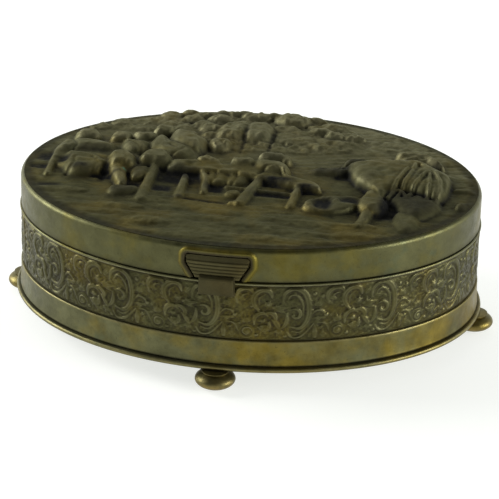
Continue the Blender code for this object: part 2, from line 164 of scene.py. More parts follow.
def add_layer(mesh, layer, values):
    """Write one number per point, which the materials read by the layer's name."""
    data = mesh.attributes.new(layer, "FLOAT", "POINT").data
    data.foreach_set("value", np.ascontiguousarray(values, dtype=np.float32).reshape(-1))


def face_outward(mesh):
    """Turn every face of a closed mesh to its outside."""
    bm = bmesh.new()
    bm.from_mesh(mesh)
    bmesh.ops.recalc_face_normals(bm, faces=bm.faces)
    bm.to_mesh(mesh)
    bm.free()


def sweep(name, profile, closed=True, waver=0.0, seed=0):
    """A ring (or a capped disc) with an (outward, up) profile all round the oval.
    A third number per point is its grime and painted shade; waver makes the ring a little uneven."""
    base, normals, _, _ = oval_samples(OVAL_STEPS)
    shape = (len(profile), OVAL_STEPS)
    columns = [[[p[k] if len(p) > k else 0.0] for p in profile] for k in range(3)]
    out, up, grime_and_shade = [np.broadcast_to(column, shape) for column in columns]
    if waver:
        out = out + waver * value_noise(*shape, 2, 22, seed, wrap_cols=True)
    points = np.concatenate([base[None] + normals[None] * out[..., None], up[..., None]], -1)
    return grid_mesh(name, points, closed, True, () if closed else (0, len(profile) - 1), {"hollow": grime_and_shade})


def arc(centre_u, centre_v, radius_u, radius_v, start_deg, end_deg, steps):
    """Profile points along an elliptical arc, both ends included."""
    angles = np.radians(np.linspace(start_deg, end_deg, steps + 1))
    return [(centre_u + radius_u * math.cos(a), centre_v + radius_v * math.sin(a)) for a in angles]


def turned(name, profile, steps, centre, radius_x, radius_y, tip, layers=None):
    """A closed solid turned round an upright axis: (outward, up) points, outward times the radii."""
    turn = np.linspace(0, 2 * math.pi, steps, endpoint=False)
    out = np.maximum([[p[0]] for p in profile], tip)
    x = centre[0] + out * radius_x * np.cos(turn)
    y = centre[1] + out * radius_y * np.sin(turn)
    z = np.broadcast_to([[p[1]] for p in profile], x.shape)
    return grid_mesh(name, np.stack([x, y, z], -1), False, True, (0, len(profile) - 1), layers)


def link(name, data):
    """A new object in the scene."""
    made = bpy.data.objects.new(name, data)
    bpy.context.scene.collection.objects.link(made)
    return made


def dressed(name, mesh, material, sharp_deg):
    """A finished mesh as an object with its material, smooth but for its sharp edges."""
    mesh.shade_smooth()
    mesh.set_sharp_from_angle(angle=math.radians(sharp_deg))
    mesh.materials.clear()
    mesh.materials.append(material)
    return link(name, mesh)


def add_piece(name, mesh, body, material, replaces, sharp_deg=40):
    """A finished mesh as a piece that rides on a body and stands for CAD nodes."""
    piece = dressed(name, mesh, material, sharp_deg)
    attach(piece, body)
    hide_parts(*replaces)
    return piece


# --- Materials ------------------------------------------------------------------
class Shader:
    """A material or world under construction: adds nodes and joins them with few words."""

    def __init__(self, owner, last="Principled BSDF"):
        self.owner = owner
        owner.use_nodes = True
        self.tree = owner.node_tree
        self.last = self.tree.nodes[last]

    def add(self, kind, inputs=None, **settings):
        node = self.tree.nodes.new(kind)
        for key, value in settings.items():
            setattr(node, key, value)
        for key, value in (inputs or {}).items():
            self.feed(node, key, value)
        return node

    def feed(self, node, key, value):
        """Set an input, or link it when the value is another node's output."""
        if isinstance(value, bpy.types.NodeSocket):
            self.tree.links.new(value, node.inputs[key])
        elif isinstance(value, tuple) and node.inputs[key].type == "RGBA":
            node.inputs[key].default_value = (*value, 1.0)
        else:
            node.inputs[key].default_value = value

    def noise(self, scale, detail=3.0, roughness=0.6, stretch=None):
        place = self.add("ShaderNodeTexCoord").outputs["Object"]
        if stretch:
            place = self.add("ShaderNodeMapping", {"Vector": place, "Scale": stretch}).outputs["Vector"]
        values = {"Vector": place, "Scale": scale, "Detail": detail, "Roughness": roughness}
        return self.add("ShaderNodeTexNoise", values).outputs["Fac"]

    def layer(self, name):
        return self.add("ShaderNodeAttribute", attribute_name=name).outputs["Fac"]

    def remap(self, value, low, high, to_low=0.0, to_high=1.0):
        values = {"Value": value, "From Min": low, "From Max": high, "To Min": to_low, "To Max": to_high}
        return self.add("ShaderNodeMapRange", values).outputs["Result"]

    def math(self, operation, a, b=0.0, clamp=False):
        return self.add("ShaderNodeMath", {0: a, 1: b}, operation=operation, use_clamp=clamp).outputs[0]

    def mix(self, factor, a, b, blend="MIX"):
        """Colours a and b mixed; these are the numbers of the node's sockets for colours."""
        node = self.add("ShaderNodeMix", data_type="RGBA", blend_type=blend)
        for socket, value in ((0, factor), (6, a), (7, b)):
            self.feed(node, socket, value)
        return node.outputs[2]

    def bump(self, height, distance, **after):
        values = {"Height": height, "Distance": distance, "Strength": 1.0, **after}
        return self.add("ShaderNodeBump", values).outputs["Normal"]

    def finish(self, **inputs):
        """Feed the last node, whose sockets are named in lower case with underscores."""
        for key, value in inputs.items():
            self.feed(self.last, key.replace("_", " ").title().replace("Ior", "IOR"), value)
        return self.owner


def patina(name, dark, olive, gold, bright, gold_share, clouding=0.34, edge=(1.0, 1.0, 1.0), dull=0.0,
           verdigris=0.25, speck=False):
    """Old brass: olive tarnish with golden patches, dark dirt and painted shade in the hollows, bright worn
    edges.
    """
    s = Shader(bpy.data.materials.new(name))
    patches = s.remap(s.noise(55.0, 4.0), 0.62 - 0.28 * gold_share, 0.74 - 0.18 * gold_share)
    colour = s.mix(patches, olive, gold)
    clouds = s.remap(s.noise(170.0, 5.0, 0.65), 0.3, 0.7, 1 - clouding, 1 + 0.9 * clouding)
    tint = s.add("ShaderNodeCombineColor", {0: clouds, 1: clouds, 2: clouds}).outputs[0]
    colour = s.mix(1.0, colour, tint, "MULTIPLY")
    specks = s.remap(s.noise(1500.0, 3.0, 0.7), 0.60, 0.74, 0.0, 0.4)
    colour = s.mix(specks, colour, dark)
    green = s.remap(s.noise(75.0, 4.0, 0.65), 0.60, 0.74, 0.0, verdigris)
    colour = s.mix(green, colour, (0.060, 0.085, 0.058))
    if speck:
        colour = s.mix(s.layer("speck"), colour, (0.10, 0.26, 0.18))
    worn = s.remap(s.noise(420.0, 3.0), 0.35, 0.6, 0.35, 1.0)
    worn = s.math("MULTIPLY", s.layer("wear"), worn, clamp=True)
    colour = s.mix(worn, colour, bright)
    # grime and painted shade: the hollow layer darkens, roughens and dulls the metal
    grime_and_shade = s.remap(s.noise(650.0, 3.0), 0.25, 0.6, 0.75, 1.1)
    grime_and_shade = s.math("MULTIPLY", s.layer("hollow"), grime_and_shade, clamp=True)
    colour = s.mix(grime_and_shade, colour, dark)
    roughness = s.remap(s.noise(380.0, 4.0), 0.3, 0.7, 0.34 + dull, 0.52 + dull)
    roughness = s.math("ADD", roughness, s.math("MULTIPLY", grime_and_shade, 0.2), clamp=True)
    metal = s.remap(grime_and_shade, 0.0, 1.0, 1.0, 0.2)
    normal = s.bump(s.noise(2600.0, 4.0, 0.7), 0.00002)
    normal = s.bump(s.noise(420.0, 3.0, 0.6), 0.00006, Normal=normal)
    return s.finish(base_color=colour, roughness=roughness, metallic=metal, normal=normal,
                    specular_ior_level=0.06, specular_tint=edge)


def velvet(name, shade, light):
    """Silk velvet: short pile with crushed patches, sheen at its edges, and painted shade in the tufts'
    dimples and creases.
    """
    s = Shader(bpy.data.materials.new(name))
    crushed = s.remap(s.noise(90.0, 4.0, 0.6, stretch=(1.0, 1.6, 1.0)), 0.35, 0.72)
    colour = s.mix(crushed, shade, light)
    # painted shade: the hollow layer darkens the tufts' dimples and creases
    dimple_shade = s.math("MULTIPLY", s.layer("hollow"), 0.8, clamp=True)
    colour = s.mix(dimple_shade, colour, tuple(0.18 * c for c in shade))
    pile = s.noise(2600.0, 3.0, 0.7, stretch=(1.0, 1.0, 0.4))
    colour = s.mix(s.remap(pile, 0.35, 0.7, 0.0, 0.55), colour, tuple(0.45 * c for c in shade))
    normal = s.bump(pile, 0.00012)
    normal = s.bump(s.noise(160.0, 3.0), 0.0003, Normal=normal)
    return s.finish(base_color=colour, roughness=s.remap(crushed, 0.0, 1.0, 0.95, 0.8), normal=normal,
                    sheen_weight=0.7, sheen_roughness=0.35, sheen_tint=(0.75, 0.45, 0.42))


def card_paper():
    """Grey-brown board with fibres and a few stains."""
    s = Shader(bpy.data.materials.new("card_board"))
    fibres = s.noise(900.0, 4.0, 0.7, stretch=(1.0, 4.0, 1.0))
    colour = s.mix(s.remap(fibres, 0.3, 0.7), (0.30, 0.24, 0.16), (0.42, 0.35, 0.25))
    colour = s.mix(s.remap(s.noise(60.0, 3.0), 0.55, 0.75, 0.0, 0.6), colour, (0.20, 0.14, 0.08))
    return s.finish(base_color=colour, roughness=0.9, normal=s.bump(fibres, 0.00008))


def dull_steel():
    """Old spring steel: dark oxide with rubbed, streaky brighter places."""
    s = Shader(bpy.data.materials.new("dull_steel"))
    streaks = s.noise(500.0, 4.0, 0.65, stretch=(0.3, 1.0, 1.0))
    colour = s.mix(s.remap(streaks, 0.4, 0.75), (0.010, 0.009, 0.007), (0.050, 0.046, 0.034))
    rust = s.remap(s.noise(800.0, 3.0), 0.60, 0.72, 0.0, 0.7)
    colour = s.mix(rust, colour, (0.07, 0.03, 0.015))
    roughness = s.remap(streaks, 0.3, 0.7, 0.55, 0.32)
    return s.finish(base_color=colour, roughness=roughness, metallic=0.9, normal=s.bump(streaks, 0.00003))


def make_materials():
    """Every material by its use; the colours of a patina are dirt and painted shade, olive, gold and worn.
    """
    # The dark colours fill specks and the hollow layer, which holds dirt and, in places, painted shade.
    dirt_and_shade = (0.016, 0.014, 0.009)
    # the relief's darkest colour: its dirt and the painted shade of its dark places
    soot = (0.009, 0.009, 0.009)
    earth = (0.034, 0.028, 0.018)
    # brown: the bezel's specks and the painted shade of its recess
    brown = (0.046, 0.037, 0.021)
    return {
        "velvet": velvet("plum_velvet", (0.075, 0.013, 0.018), (0.115, 0.021, 0.027)),
        "card": card_paper(),
        "steel": dull_steel(),
        "relief": patina("relief_bronze", soot, (0.064, 0.061, 0.028), (0.096, 0.077, 0.024),
                         (0.185, 0.173, 0.10), 0.55, edge=(0.76, 0.76, 0.66), dull=0.13, speck=True),
        "band": patina("band_bronze", earth, (0.056, 0.054, 0.022), (0.080, 0.063, 0.014),
                       (0.16, 0.15, 0.08), 0.5, clouding=0.42, verdigris=0.08),
        "rim": patina("rim_brass", dirt_and_shade, (0.092, 0.090, 0.040), (0.112, 0.096, 0.024),
                      (0.19, 0.18, 0.10), 0.45, clouding=0.2, verdigris=0.6),
        "plinth": patina("plinth_brass", dirt_and_shade, (0.110, 0.108, 0.052), (0.150, 0.115, 0.024),
                         (0.21, 0.18, 0.08), 0.62, verdigris=0.5),
        "bezel": patina("bezel_gold", brown, (0.088, 0.080, 0.032), (0.10, 0.086, 0.016),
                        (0.19, 0.15, 0.025), 0.6, clouding=0.2),
        "catch": patina("catch_bronze", earth, (0.068, 0.061, 0.027), (0.074, 0.058, 0.021),
                        (0.095, 0.083, 0.040), 0.4, clouding=0.2),
        "foot": patina("foot_bronze", dirt_and_shade, (0.10, 0.095, 0.045), (0.14, 0.11, 0.026),
                       (0.24, 0.18, 0.06), 0.6),
    }


# --- Relief ---------------------------------------------------------------------
SIGHT = 2.28  # a point 1 higher looks this much further back in the photo
SIGHT_ASIDE = 0.37  # and this much further left
UNDER = 1.8  # how far a form's near side runs under what stands before it
OUTSIDE = -9.0  # height of a shape outside its outline: never above the field


def path(*flat):
    """Points from coordinates given in turn: x, y, x, y and so on."""
    return list(zip(flat[::2], flat[1::2]))


class Relief:
    """A height field in millimetres, drawn by raising rounded shapes out of a flat sheet."""

    def __init__(self, low_x, high_x, low_y, high_y, step, melt=0.0):
        self.step = step
        self.melt = melt  # how softly shapes run into each other
        self.low = (low_x, low_y)
        self.x = np.arange(low_x, high_x + step, step)
        self.y = np.arange(low_y, high_y + step, step)
        self.height = np.zeros((len(self.y), len(self.x)))
        self.soot = np.zeros_like(self.height)  # extra dirt and painted shade, 0 to 1
        self.rough = np.zeros_like(self.height)  # leafy grain that domes may take on

    def window(self, points, margin):
        """Slices of the field around some points, with their coordinates."""
        spans = []
        for axis, coords in ((1, self.y), (0, self.x)):
            low = min(p[axis] for p in points) - margin
            high = max(p[axis] for p in points) + margin
            start, stop = np.searchsorted(coords, (low, high))
            spans.append(slice(start, max(stop, start + 1)))
        part = tuple(spans)
        x, y = np.meshgrid(self.x[part[1]], self.y[part[0]])
        return part, x, y

    def lift(self, part, height):
        """Raise the field to a new shape, running softly into what is there."""
        below = self.height[part]
        if self.melt:
            share = np.clip(0.5 + 0.5 * (height - below) / self.melt, 0.0, 1.0)
            self.height[part] = below + share * (height - below) + self.melt * share * (1.0 - share)
        else:
            self.height[part] = np.maximum(below, height)

    def dome(self, x, y, half_x, half_y, rise, blunt=0.5, base=0.0, rough=0.0):
        """A rounded lump; blunt under 0.5 is flatter on top, over 0.5 more pointed."""
        part, px, py = self.window([(x, y)], max(half_x, half_y))
        inside = np.clip(1.0 - ((px - x) / half_x) ** 2 - ((py - y) / half_y) ** 2, 0.0, 1.0)
        top = base + rise * inside ** blunt + rough * self.rough[part] * np.sqrt(inside)
        self.lift(part, np.where(inside > 0, top, OUTSIDE))

    def seen(self, left, right, near, far, rise, base=0.0, **more):
        """A dome placed by the edges it shows at the photo's angle, where height hides what lies behind."""
        span = far - near
        reach = SIGHT * rise
        half_y = max(0.9, (span * span - reach * reach) / (2 * span))
        x = (left + right) / 2 + SIGHT_ASIDE * (base + rise / 2)
        y = near + half_y - SIGHT * base
        self.dome(x, y, (right - left) / 2, half_y, rise, base=base, **more)

    def pit(self, left, right, near, far, depth, soot=0.9):
        """A hollow, darkened with dirt and painted shade."""
        x, y = (left + right) / 2, (near + far) / 2
        half_x, half_y = (right - left) / 2, (far - near) / 2
        part, px, py = self.window([(x, y)], 1.3 * max(half_x, half_y))
        away = ((px - x) / half_x) ** 4 + ((py - y) / half_y) ** 4
        amount = np.exp(-0.8 * away)
        self.height[part] -= depth * amount
        self.soot[part] = np.maximum(self.soot[part], soot * amount)

    def nearest(self, points, px, py):
        """Distance to a polyline and the value of its later columns at the nearest place."""
        best = np.full(px.shape, 1e9)
        extra = np.zeros((len(points[0]) - 2,) + px.shape)
        for a, b in zip(points, points[1:]):
            dx, dy = b[0] - a[0], b[1] - a[1]
            t = np.clip(((px - a[0]) * dx + (py - a[1]) * dy) / (dx * dx + dy * dy + 1e-12), 0.0, 1.0)
            distance = np.hypot(px - a[0] - t * dx, py - a[1] - t * dy)
            closer = distance < best
            best = np.where(closer, distance, best)
            for k in range(len(extra)):
                value = a[k + 2] + (b[k + 2] - a[k + 2]) * t
                extra[k] = np.where(closer, value, extra[k])
        return best, extra

    def limb(self, points, blunt=0.5):
        """A rounded limb through (x, y, radius, rise) points."""
        part, px, py = self.window(points, max(p[2] for p in points))
        distance, (radius, rise) = self.nearest(points, px, py)
        inside = np.clip(1.0 - (distance / radius) ** 2, 0.0, 1.0)
        self.lift(part, np.where(inside > 0, rise * inside ** blunt, OUTSIDE))

    def crease(self, points, width, rise):
        """Add a soft ridge (or a groove, when rise is negative) along a line."""
        part, px, py = self.window(points, 3 * width)
        distance, _ = self.nearest(points, px, py)
        self.height[part] += rise * np.exp(-(distance / width) ** 2)

    def slab(self, outline, rise, edge, blunt=0.5, base=0.0, rough=0.0, soot=0.0):
        """A flat-topped mass inside a closed outline, rounded over its edge."""
        part, px, py = self.window(outline, 0.5)
        inside = np.zeros(px.shape, bool)
        closed = outline + outline[:1]
        for a, b in zip(closed, closed[1:]):
            crosses = (a[1] > py) != (b[1] > py)
            slope = (b[0] - a[0]) / ((b[1] - a[1]) or 1e-9)
            inside ^= crosses & (px < a[0] + (py - a[1]) * slope)
        distance, _ = self.nearest(closed, px, py)
        depth = np.clip(distance / edge, 0.0, 1.0)
        swell = (1.0 - (1.0 - depth) ** 2) ** blunt
        top = base + rise * swell + rough * self.rough[part] * swell
        self.lift(part, np.where(inside, top, OUTSIDE))
        self.soot[part] = np.maximum(self.soot[part], np.where(inside, soot * swell, 0.0))

    def form(self, rise, edge, *flat, base=0.0, blunt=0.75, **more):
        """A rounded mass whose outline, x and y in turn, is given as it shows at the photo's angle.

        Its near side reaches a little further, under whatever stands before it."""
        outline = path(*flat)
        lows = [lowest(outline, x) for x, _ in outline]
        span = max(y - low for (_, y), low in zip(outline, lows))
        squeeze = max(0.35, 1.0 - 0.8 * SIGHT * rise / span)
        aside = SIGHT_ASIDE * (base + 0.5 * rise)
        middle = (min(x for x, _ in outline) + max(x for x, _ in outline)) / 2
        half = middle - min(x for x, _ in outline)
        wider = 1.0 + 0.45 / half  # a rounded side shows a little inside its outline
        plan = []
        for (x, y), low in zip(outline, lows):
            reach = UNDER * max(0.0, 1.0 - 3.0 * (y - low) / span)
            x = middle + (x - middle) * wider + aside
            plan.append((x, low + (y - low) * squeeze - SIGHT * base - reach))
        loop = np.array(plan + plan[:1])
        for _ in range(2):
            before, after = loop[:-1], loop[1:]
            loop = np.stack([before * 0.75 + after * 0.25, before * 0.25 + after * 0.75], 1).reshape(-1, 2)
            loop = np.vstack([loop, loop[:1]])
        self.slab([tuple(point) for point in loop[:-1]], rise, edge, base=base, blunt=blunt, **more)

    def line(self, width, rise, level, *flat):
        """A crease given as it shows at the photo's angle, on a surface that high."""
        self.crease([(x + SIGHT_ASIDE * level, y - SIGHT * level) for x, y in path(*flat)], width, rise)

    def sample(self, x, y):
        """Height at any points, between the field's cells."""
        u = np.clip((x - self.low[0]) / self.step, 0, len(self.x) - 1.001)
        v = np.clip((y - self.low[1]) / self.step, 0, len(self.y) - 1.001)
        i, j = v.astype(int), u.astype(int)
        f, g = v - i, u - j
        field = self.height
        top = field[i, j] * (1 - g) + field[i, j + 1] * g
        low = field[i + 1, j] * (1 - g) + field[i + 1, j + 1] * g
        return top * (1 - f) + low * f


def lowest(outline, x):
    """The lowest crossing of a closed outline at x."""
    found = []
    for a, b in zip(outline, outline[1:] + outline[:1]):
        if min(a[0], b[0]) <= x <= max(a[0], b[0]):
            share = (x - a[0]) / ((b[0] - a[0]) or 1e-9)
            found.append(a[1] + (b[1] - a[1]) * min(1.0, max(0.0, share)))
    return min(found)


def wear_and_hollow(field, step, near, far, wear_gain, hollow_gain):
    """Where a rubbed relief shines, and where dirt stays and painted shade darkens it: its height against
    its surroundings.
    """
    close = field - blur(field, near / step)
    wide = field - blur(field, far / step)
    wear = np.clip(wear_gain * (close + 0.35 * wide), 0.0, 1.0)
    hollow = np.clip(-hollow_gain * (close + 0.5 * wide), 0.0, 1.0)
    return wear, hollow


def draw_ground(r):
    """Rolling ground: broken streaks in front, a smooth field and a grassy bank at the back."""
    rows, cols = r.height.shape
    x, y = np.meshgrid(r.x, r.y)
    r.height += 0.16 * value_noise(rows, cols, 7, 9, 11)
    near = np.clip((-4.0 - y) / 16.0, 0.0, 1.0)
    r.height += near * 0.30 * value_noise(rows, cols, 30, 9, 12)
    r.height += near * 0.22 * value_noise(rows, cols, 60, 17, 13)
    r.height += (0.04 + 0.07 * near) * value_noise(rows, cols, 120, 60, 14)
    r.height += 0.05 * value_noise(rows, cols, 170, 210, 16)
    fan = y - 0.30 * (x - 8.0) + 1.2 * value_noise(rows, cols, 5, 7, 17)
    field = np.clip((x - 4.0) / 10.0, 0, 1) * np.clip((y - 2.0) / 5.0, 0, 1)
    field = field * np.clip((34.0 - y) / 6.0, 0, 1)
    r.height += 0.07 * field * np.sin(2 * math.pi * fan / 2.6)
    bank = np.clip((y - 22.5 + 0.10 * (x - 34.0)) / 1.2, 0, 1) * np.clip((x - 24.0) / 6.0, 0, 1)
    r.height += bank * (0.35 + 0.30 * r.rough)
    for left, right, low, high, rise in [
        (-26, -14, -36, -31.5, 0.8), (4, 16, -41, -36, 0.8), (-34, -22, -28, -24, 0.6),
        (26, 40, -34, -30, 0.7), (-10, 4, -31, -28, 0.5), (-48, -38, -21, -17.5, 0.6),
        (8, 22, -27, -24, 0.5), (46, 56, 3, 12, 0.6), (42, 53, 17, 24, 0.8), (26, 40, 26, 31, 0.7),
        (22, 32, 19, 24, 0.5), (8, 20, 20, 26, 0.6),
    ]:
        r.seen(left, right, low, high, 0.7 * rise, rough=0.22, blunt=1.0)
    # painted shade: dark hollows under the figures and the table
    for left, right, low, high in [
        (-56.5, -52, -1.5, 3.6), (-57, -51.5, -7, -4.2), (-45, -40, -9.4, -7),
        (-52, -45.5, -17.8, -15.8), (-40, -30, -10.6, -9.6), (-18, -3, -20.2, -19.2),
    ]:
        r.pit(left, right, low, high, 0.35, 0.8)


def draw_trees(r):
    """Leafy crowns along the back edge, two tall trees before them, and low bushes."""
    r.slab(path(-44, 24, -30, 24, -22, 22, -12, 15, -4, 14, 6, 15, 16, 16, 24, 20, 27, 28, 22, 36, 14, 41,
        4, 44, -8, 44, -18, 42, -28, 38, -38, 31), 0.7, 5, rough=0.5)  # the wood behind
    crowns = [(-30.4, -25.4, 34.8, 40.2, 1.3), (-25.2, -20.8, 38.2, 42.4, 1.7),
        (-21.4, -15.2, 37, 42.2, 1.7), (-24, -19.4, 33.6, 39, 1.5), (-16.4, -12.4, 38.6, 43.4, 1.9),
        (-13.6, -8.8, 38.8, 43.8, 2), (-17.6, -11.2, 34, 39.8, 2), (-10.8, -6.6, 39.8, 44.5, 1.9),
        (-8.8, -4.6, 37, 43.4, 2.1), (-5.6, -1.4, 37.4, 43.8, 2.1), (-2, 1.2, 38.6, 44.6, 2),
        (0.2, 9.2, 34.8, 44.5, 2.5), (9, 13.4, 39.6, 43.8, 1.7), (12.4, 19.8, 34.6, 40, 1.2),
        (9.6, 13.4, 35, 38.4, 1.2), (10.6, 16.2, 30, 35.6, 1.8), (15.2, 19.4, 28.4, 33.4, 1.6),
        (20, 25.2, 28.4, 32.6, 1.4), (-20.6, -15.8, 29.8, 35, 1.6), (-18.4, -12.4, 26.2, 32.6, 1.7),
        (-16.8, -11.6, 22, 26.6, 1.2), (-34.2, -27.8, 30, 35, 0.8), (-42.4, -37.2, 27.6, 32.8, 0.9),
        (-28.6, -23.4, 29.2, 32.8, 1), (-25.2, -20.2, 26.4, 30.2, 1), (0.8, 7.6, 29.6, 35.6, 1.4),
        (1.8, 7.6, 22.2, 30.2, 1.2), (7.2, 12.4, 22.2, 28.6, 1.2), (6, 11, 28.6, 33, 1.1),
        (12, 16.6, 20, 25, 1.2), (13.4, 18, 24.4, 28.6, 1), (17, 23.6, 23.2, 28, 0.9),
        (-47.5, -43, 24, 28, 0.6)]
    for left, right, near, far, rise in crowns:
        r.seen(left - 0.7, right + 0.7, near - 1, far, rise, base=0.25, rough=0.4, blunt=0.42)
    r.form(2.5, 3.4, -14.2, 23, -13.8, 29, -12.8, 33.5, -10.6, 36.6, -8, 37.4, -5.6, 36, -5, 30, -5.4, 23,
        -8, 20.6, -12, 20.8, rough=0.5)  # tall tree
    r.form(2.8, 3.2, -6.9, 24, -7, 30, -6.2, 35, -4.2, 37.6, -1.4, 37.4, 0.4, 35, 1.2, 30, 1.2, 23, -1, 21,
        -5, 21.4, rough=0.15)  # smooth tree beside it
    r.form(2, 1.9, -14.4, 18, -13.4, 21.4, -11.6, 22.9, -9.8, 21.6, -8.5, 18.6, -8.5, 15.6, -9.8, 13.6,
        -11.6, 13.2, -13.2, 14.8, rough=0.6)  # shrub
    # painted shade: dark gaps beside and between the trees
    for left, right, near, far in [(-25, -21.4, 37, 38.6), (-23.6, -18.6, 31.8, 33.6), (1.6, 2.6, 15, 30),
        (-5.6, -4.6, 16, 30), (16, 19, 27, 28.6), (9.6, 13, 37.2, 39)]:
        r.pit(left, right, near - 2, far - 2, 0.4, 0.85)


def draw_seated_group(r):
    """People resting together on the left: bent backs, heads, a lap and a reaching arm."""
    r.slab(path(-52, -2, -52, 6, -48, 10, -41, 11, -34, 13, -26, 16, -19, 15, -15, 10, -14.6, 4, -18, -1,
        -25, -3, -30, -8, -37, -8, -44, -9, -49, -6), 1.25, 2.4)  # ground they sit on
    r.form(2.2, 2.6, -49.8, 17.4, -49.3, 21.2, -47.6, 23.6, -45.4, 23.2, -43.8, 20.6, -42.8, 17.4,
        -43.6, 15, -47, 14.2, -49.2, 15, base=0.2)  # head on the far left
    r.form(2.4, 2.4, -40.2, 16, -39.9, 19.6, -38.4, 22.1, -36.3, 22.6, -34.8, 21.2, -34.4, 17.5,
        -35.2, 14.4, -37.5, 13.6, -39.6, 14, base=0.3)  # second head
    r.form(2.5, 2.2, -30, 22.2, -29.7, 26, -28.4, 28.7, -26.4, 29.4, -24.8, 27.4, -24.8, 24, -26, 21.4,
        -28.4, 20.8, base=0.2, rough=0.4)  # curly head
    # bowed head and shoulder
    r.form(3.2, 4, -25, 19, -24.9, 24, -23.6, 26.2, -21.9, 27.3, -19.4, 27.1, -17.4, 25.1, -16, 22.6,
        -14.9, 19.6, -14.2, 16, -14.9, 12.6, -16.5, 10, -19.5, 10.5, -22.5, 12.5, -24.4, 15, base=0.1)
    # back on the left
    r.form(2.5, 3.6, -52.8, 5, -52.4, 10.2, -51.2, 13.2, -49.1, 15.6, -46.4, 16.1, -43.6, 15.6,
        -40.8, 14.2, -38.4, 12.2, -36.4, 9.4, -37.2, 5.4, -42, 4.8, -47, 4.2, -50, 2.5, base=0.1)
    r.limb([(-51, 3, 1.2, 1.6), (-50.8, -4, 1, 1.3), (-50.4, -11, 1, 0.9)], 0.4)
    # figure in the middle
    r.form(2.7, 3.6, -29.2, 10, -28.9, 16.4, -28.4, 20, -27, 21.8, -25.2, 22.2, -24, 20.6, -23.2, 17.8,
        -20.6, 16.4, -18.4, 14, -16.9, 11.4, -16.6, 8.4, -18.2, 4.6, -21.5, 3.6, -25, 6, base=0.3)
    r.form(2.6, 2.6, -35.2, 18.4, -33.9, 21.2, -32, 22.9, -30, 23.2, -28.4, 22, -28.2, 19, -29, 15.8,
        -31.1, 15.2, -33.6, 15.8, base=0.4)  # head with a cap
    r.form(2.6, 3, -36.3, 14, -35.8, 17.4, -34, 17.4, -30.8, 16.3, -28.9, 14.8, -28.4, 11, -29.4, 6.5,
        -32.2, 5.5, -35, 7, -36, 10, base=0.3)  # their shoulder
    r.form(2.2, 3.6, -49.5, 2, -48.6, 5.2, -46, 6.9, -43, 7.3, -40, 6.6, -37.4, 4.6, -36.2, 1.2, -36.2, -3,
        -37.5, -6.5, -40.5, -8.8, -44, -9.4, -46.8, -7.5, -48.4, -3, base=0.1)  # lap
    # the knee is darkened as painted shade, under the plank
    r.form(1.6, 2, -30.2, -3.2, -28.6, -0.6, -26, -1.2, -25, -3.8, -25.3, -7.2, -27.2, -9.6,
        -29.2, -9.6, base=0.2, soot=0.35)  # knee
    r.form(3, 3.4, -29.7, 0.5, -29.6, 6, -28.9, 9.6, -27.4, 11.5, -25.4, 12.1, -23.5, 11.4, -22.3, 9,
        -21.3, 5.2, -20.8, 1.8, -21.8, -0.4, -25.6, -0.8, -28.6, -0.6, base=0.5)  # back turned to us
    r.form(3, 3, -37.7, 1.6, -37.3, 5.2, -36.1, 7.8, -34.3, 9.5, -32.7, 8.7, -31.3, 6.2, -30.3, 3.6,
        -29.8, 0, -30, -3.2, -33, -4, -35.6, -4.6, -36.8, -2, base=0.5)  # somebody leaning
    r.limb([(-33, -7, 2.3, 2.4), (-31.7, -11, 1.9, 2.1), (-30.2, -15.2, 1.4, 1.6)], 0.45)
    # the hand is darkened as painted shade
    r.form(1.3, 1.8, -33.1, -16.4, -32.4, -14.7, -30.6, -13.9, -28.2, -12.9, -26.2, -14, -25.7, -16.4,
        -27.4, -18.4, -30.4, -19.5, -32.4, -18.9, soot=0.55)  # hand
    r.form(1.8, 1.8, -20.9, 0, -21.4, 3.2, -19.8, 5, -16.8, 5.5, -14.6, 4.6, -13.2, 2.4, -15.4, 1.4,
        -16.6, -0.8, -18.6, -1.8, base=0.7)  # sleeve on the table
    r.line(0.45, 0.5, 1.5, -35, 22.8, -32.4, 25.2, -29.8, 23.6)  # cap brim
    r.line(0.4, -0.5, 1.8, -34.4, 21.4, -32.4, 23.6, -30.2, 22.4)
    for step in range(4):  # strands of hair
        r.line(0.3, -0.45, 2.6, -20.2 + 1.1 * step, 25.6 - 0.6 * step,
            -17.6 + 0.8 * step, 21.4 - 0.8 * step, -16 + 0.3 * step, 16)
    r.line(0.6, -0.55, 1.8, -48.6, 13, -47.4, 9.4, -48, 6.2)
    r.line(0.5, -0.5, 1.8, -46, 5.2, -42, 4.6, -38.6, 1.8)
    r.line(0.5, -0.5, 1.5, -45.8, 0.4, -45, -3.4, -46.2, -7)
    r.line(0.5, -0.35, 1.5, -41, 1, -39.2, -2.4, -39.8, -6)
    r.line(0.55, -0.5, 2.4, -34.2, 14.4, -31.6, 12.4, -30, 8.6)
    r.line(0.5, -0.45, 2.4, -25.8, 19.4, -24.6, 15.4, -22, 12.6)
    r.line(0.5, -0.4, 2.8, -33.8, 6.4, -32.6, 2, -33.2, -1.6)
    r.line(0.4, -0.5, 2.6, -22.8, 7.6, -21, 10.4, -19.8, 12.6)
    # painted shade: dark hollows under the lap, the knee and the hand
    r.pit(-49.6, -46.4, -4.4, -1, 0.5, 0.9)
    r.pit(-46, -38, 3.4, 5.6, 0.25, 0.6)
    r.pit(-37.2, -35.6, -12, -5, 0.4, 0.9)
    r.pit(-29.6, -26, -17.4, -12.6, 0.3, 0.8)


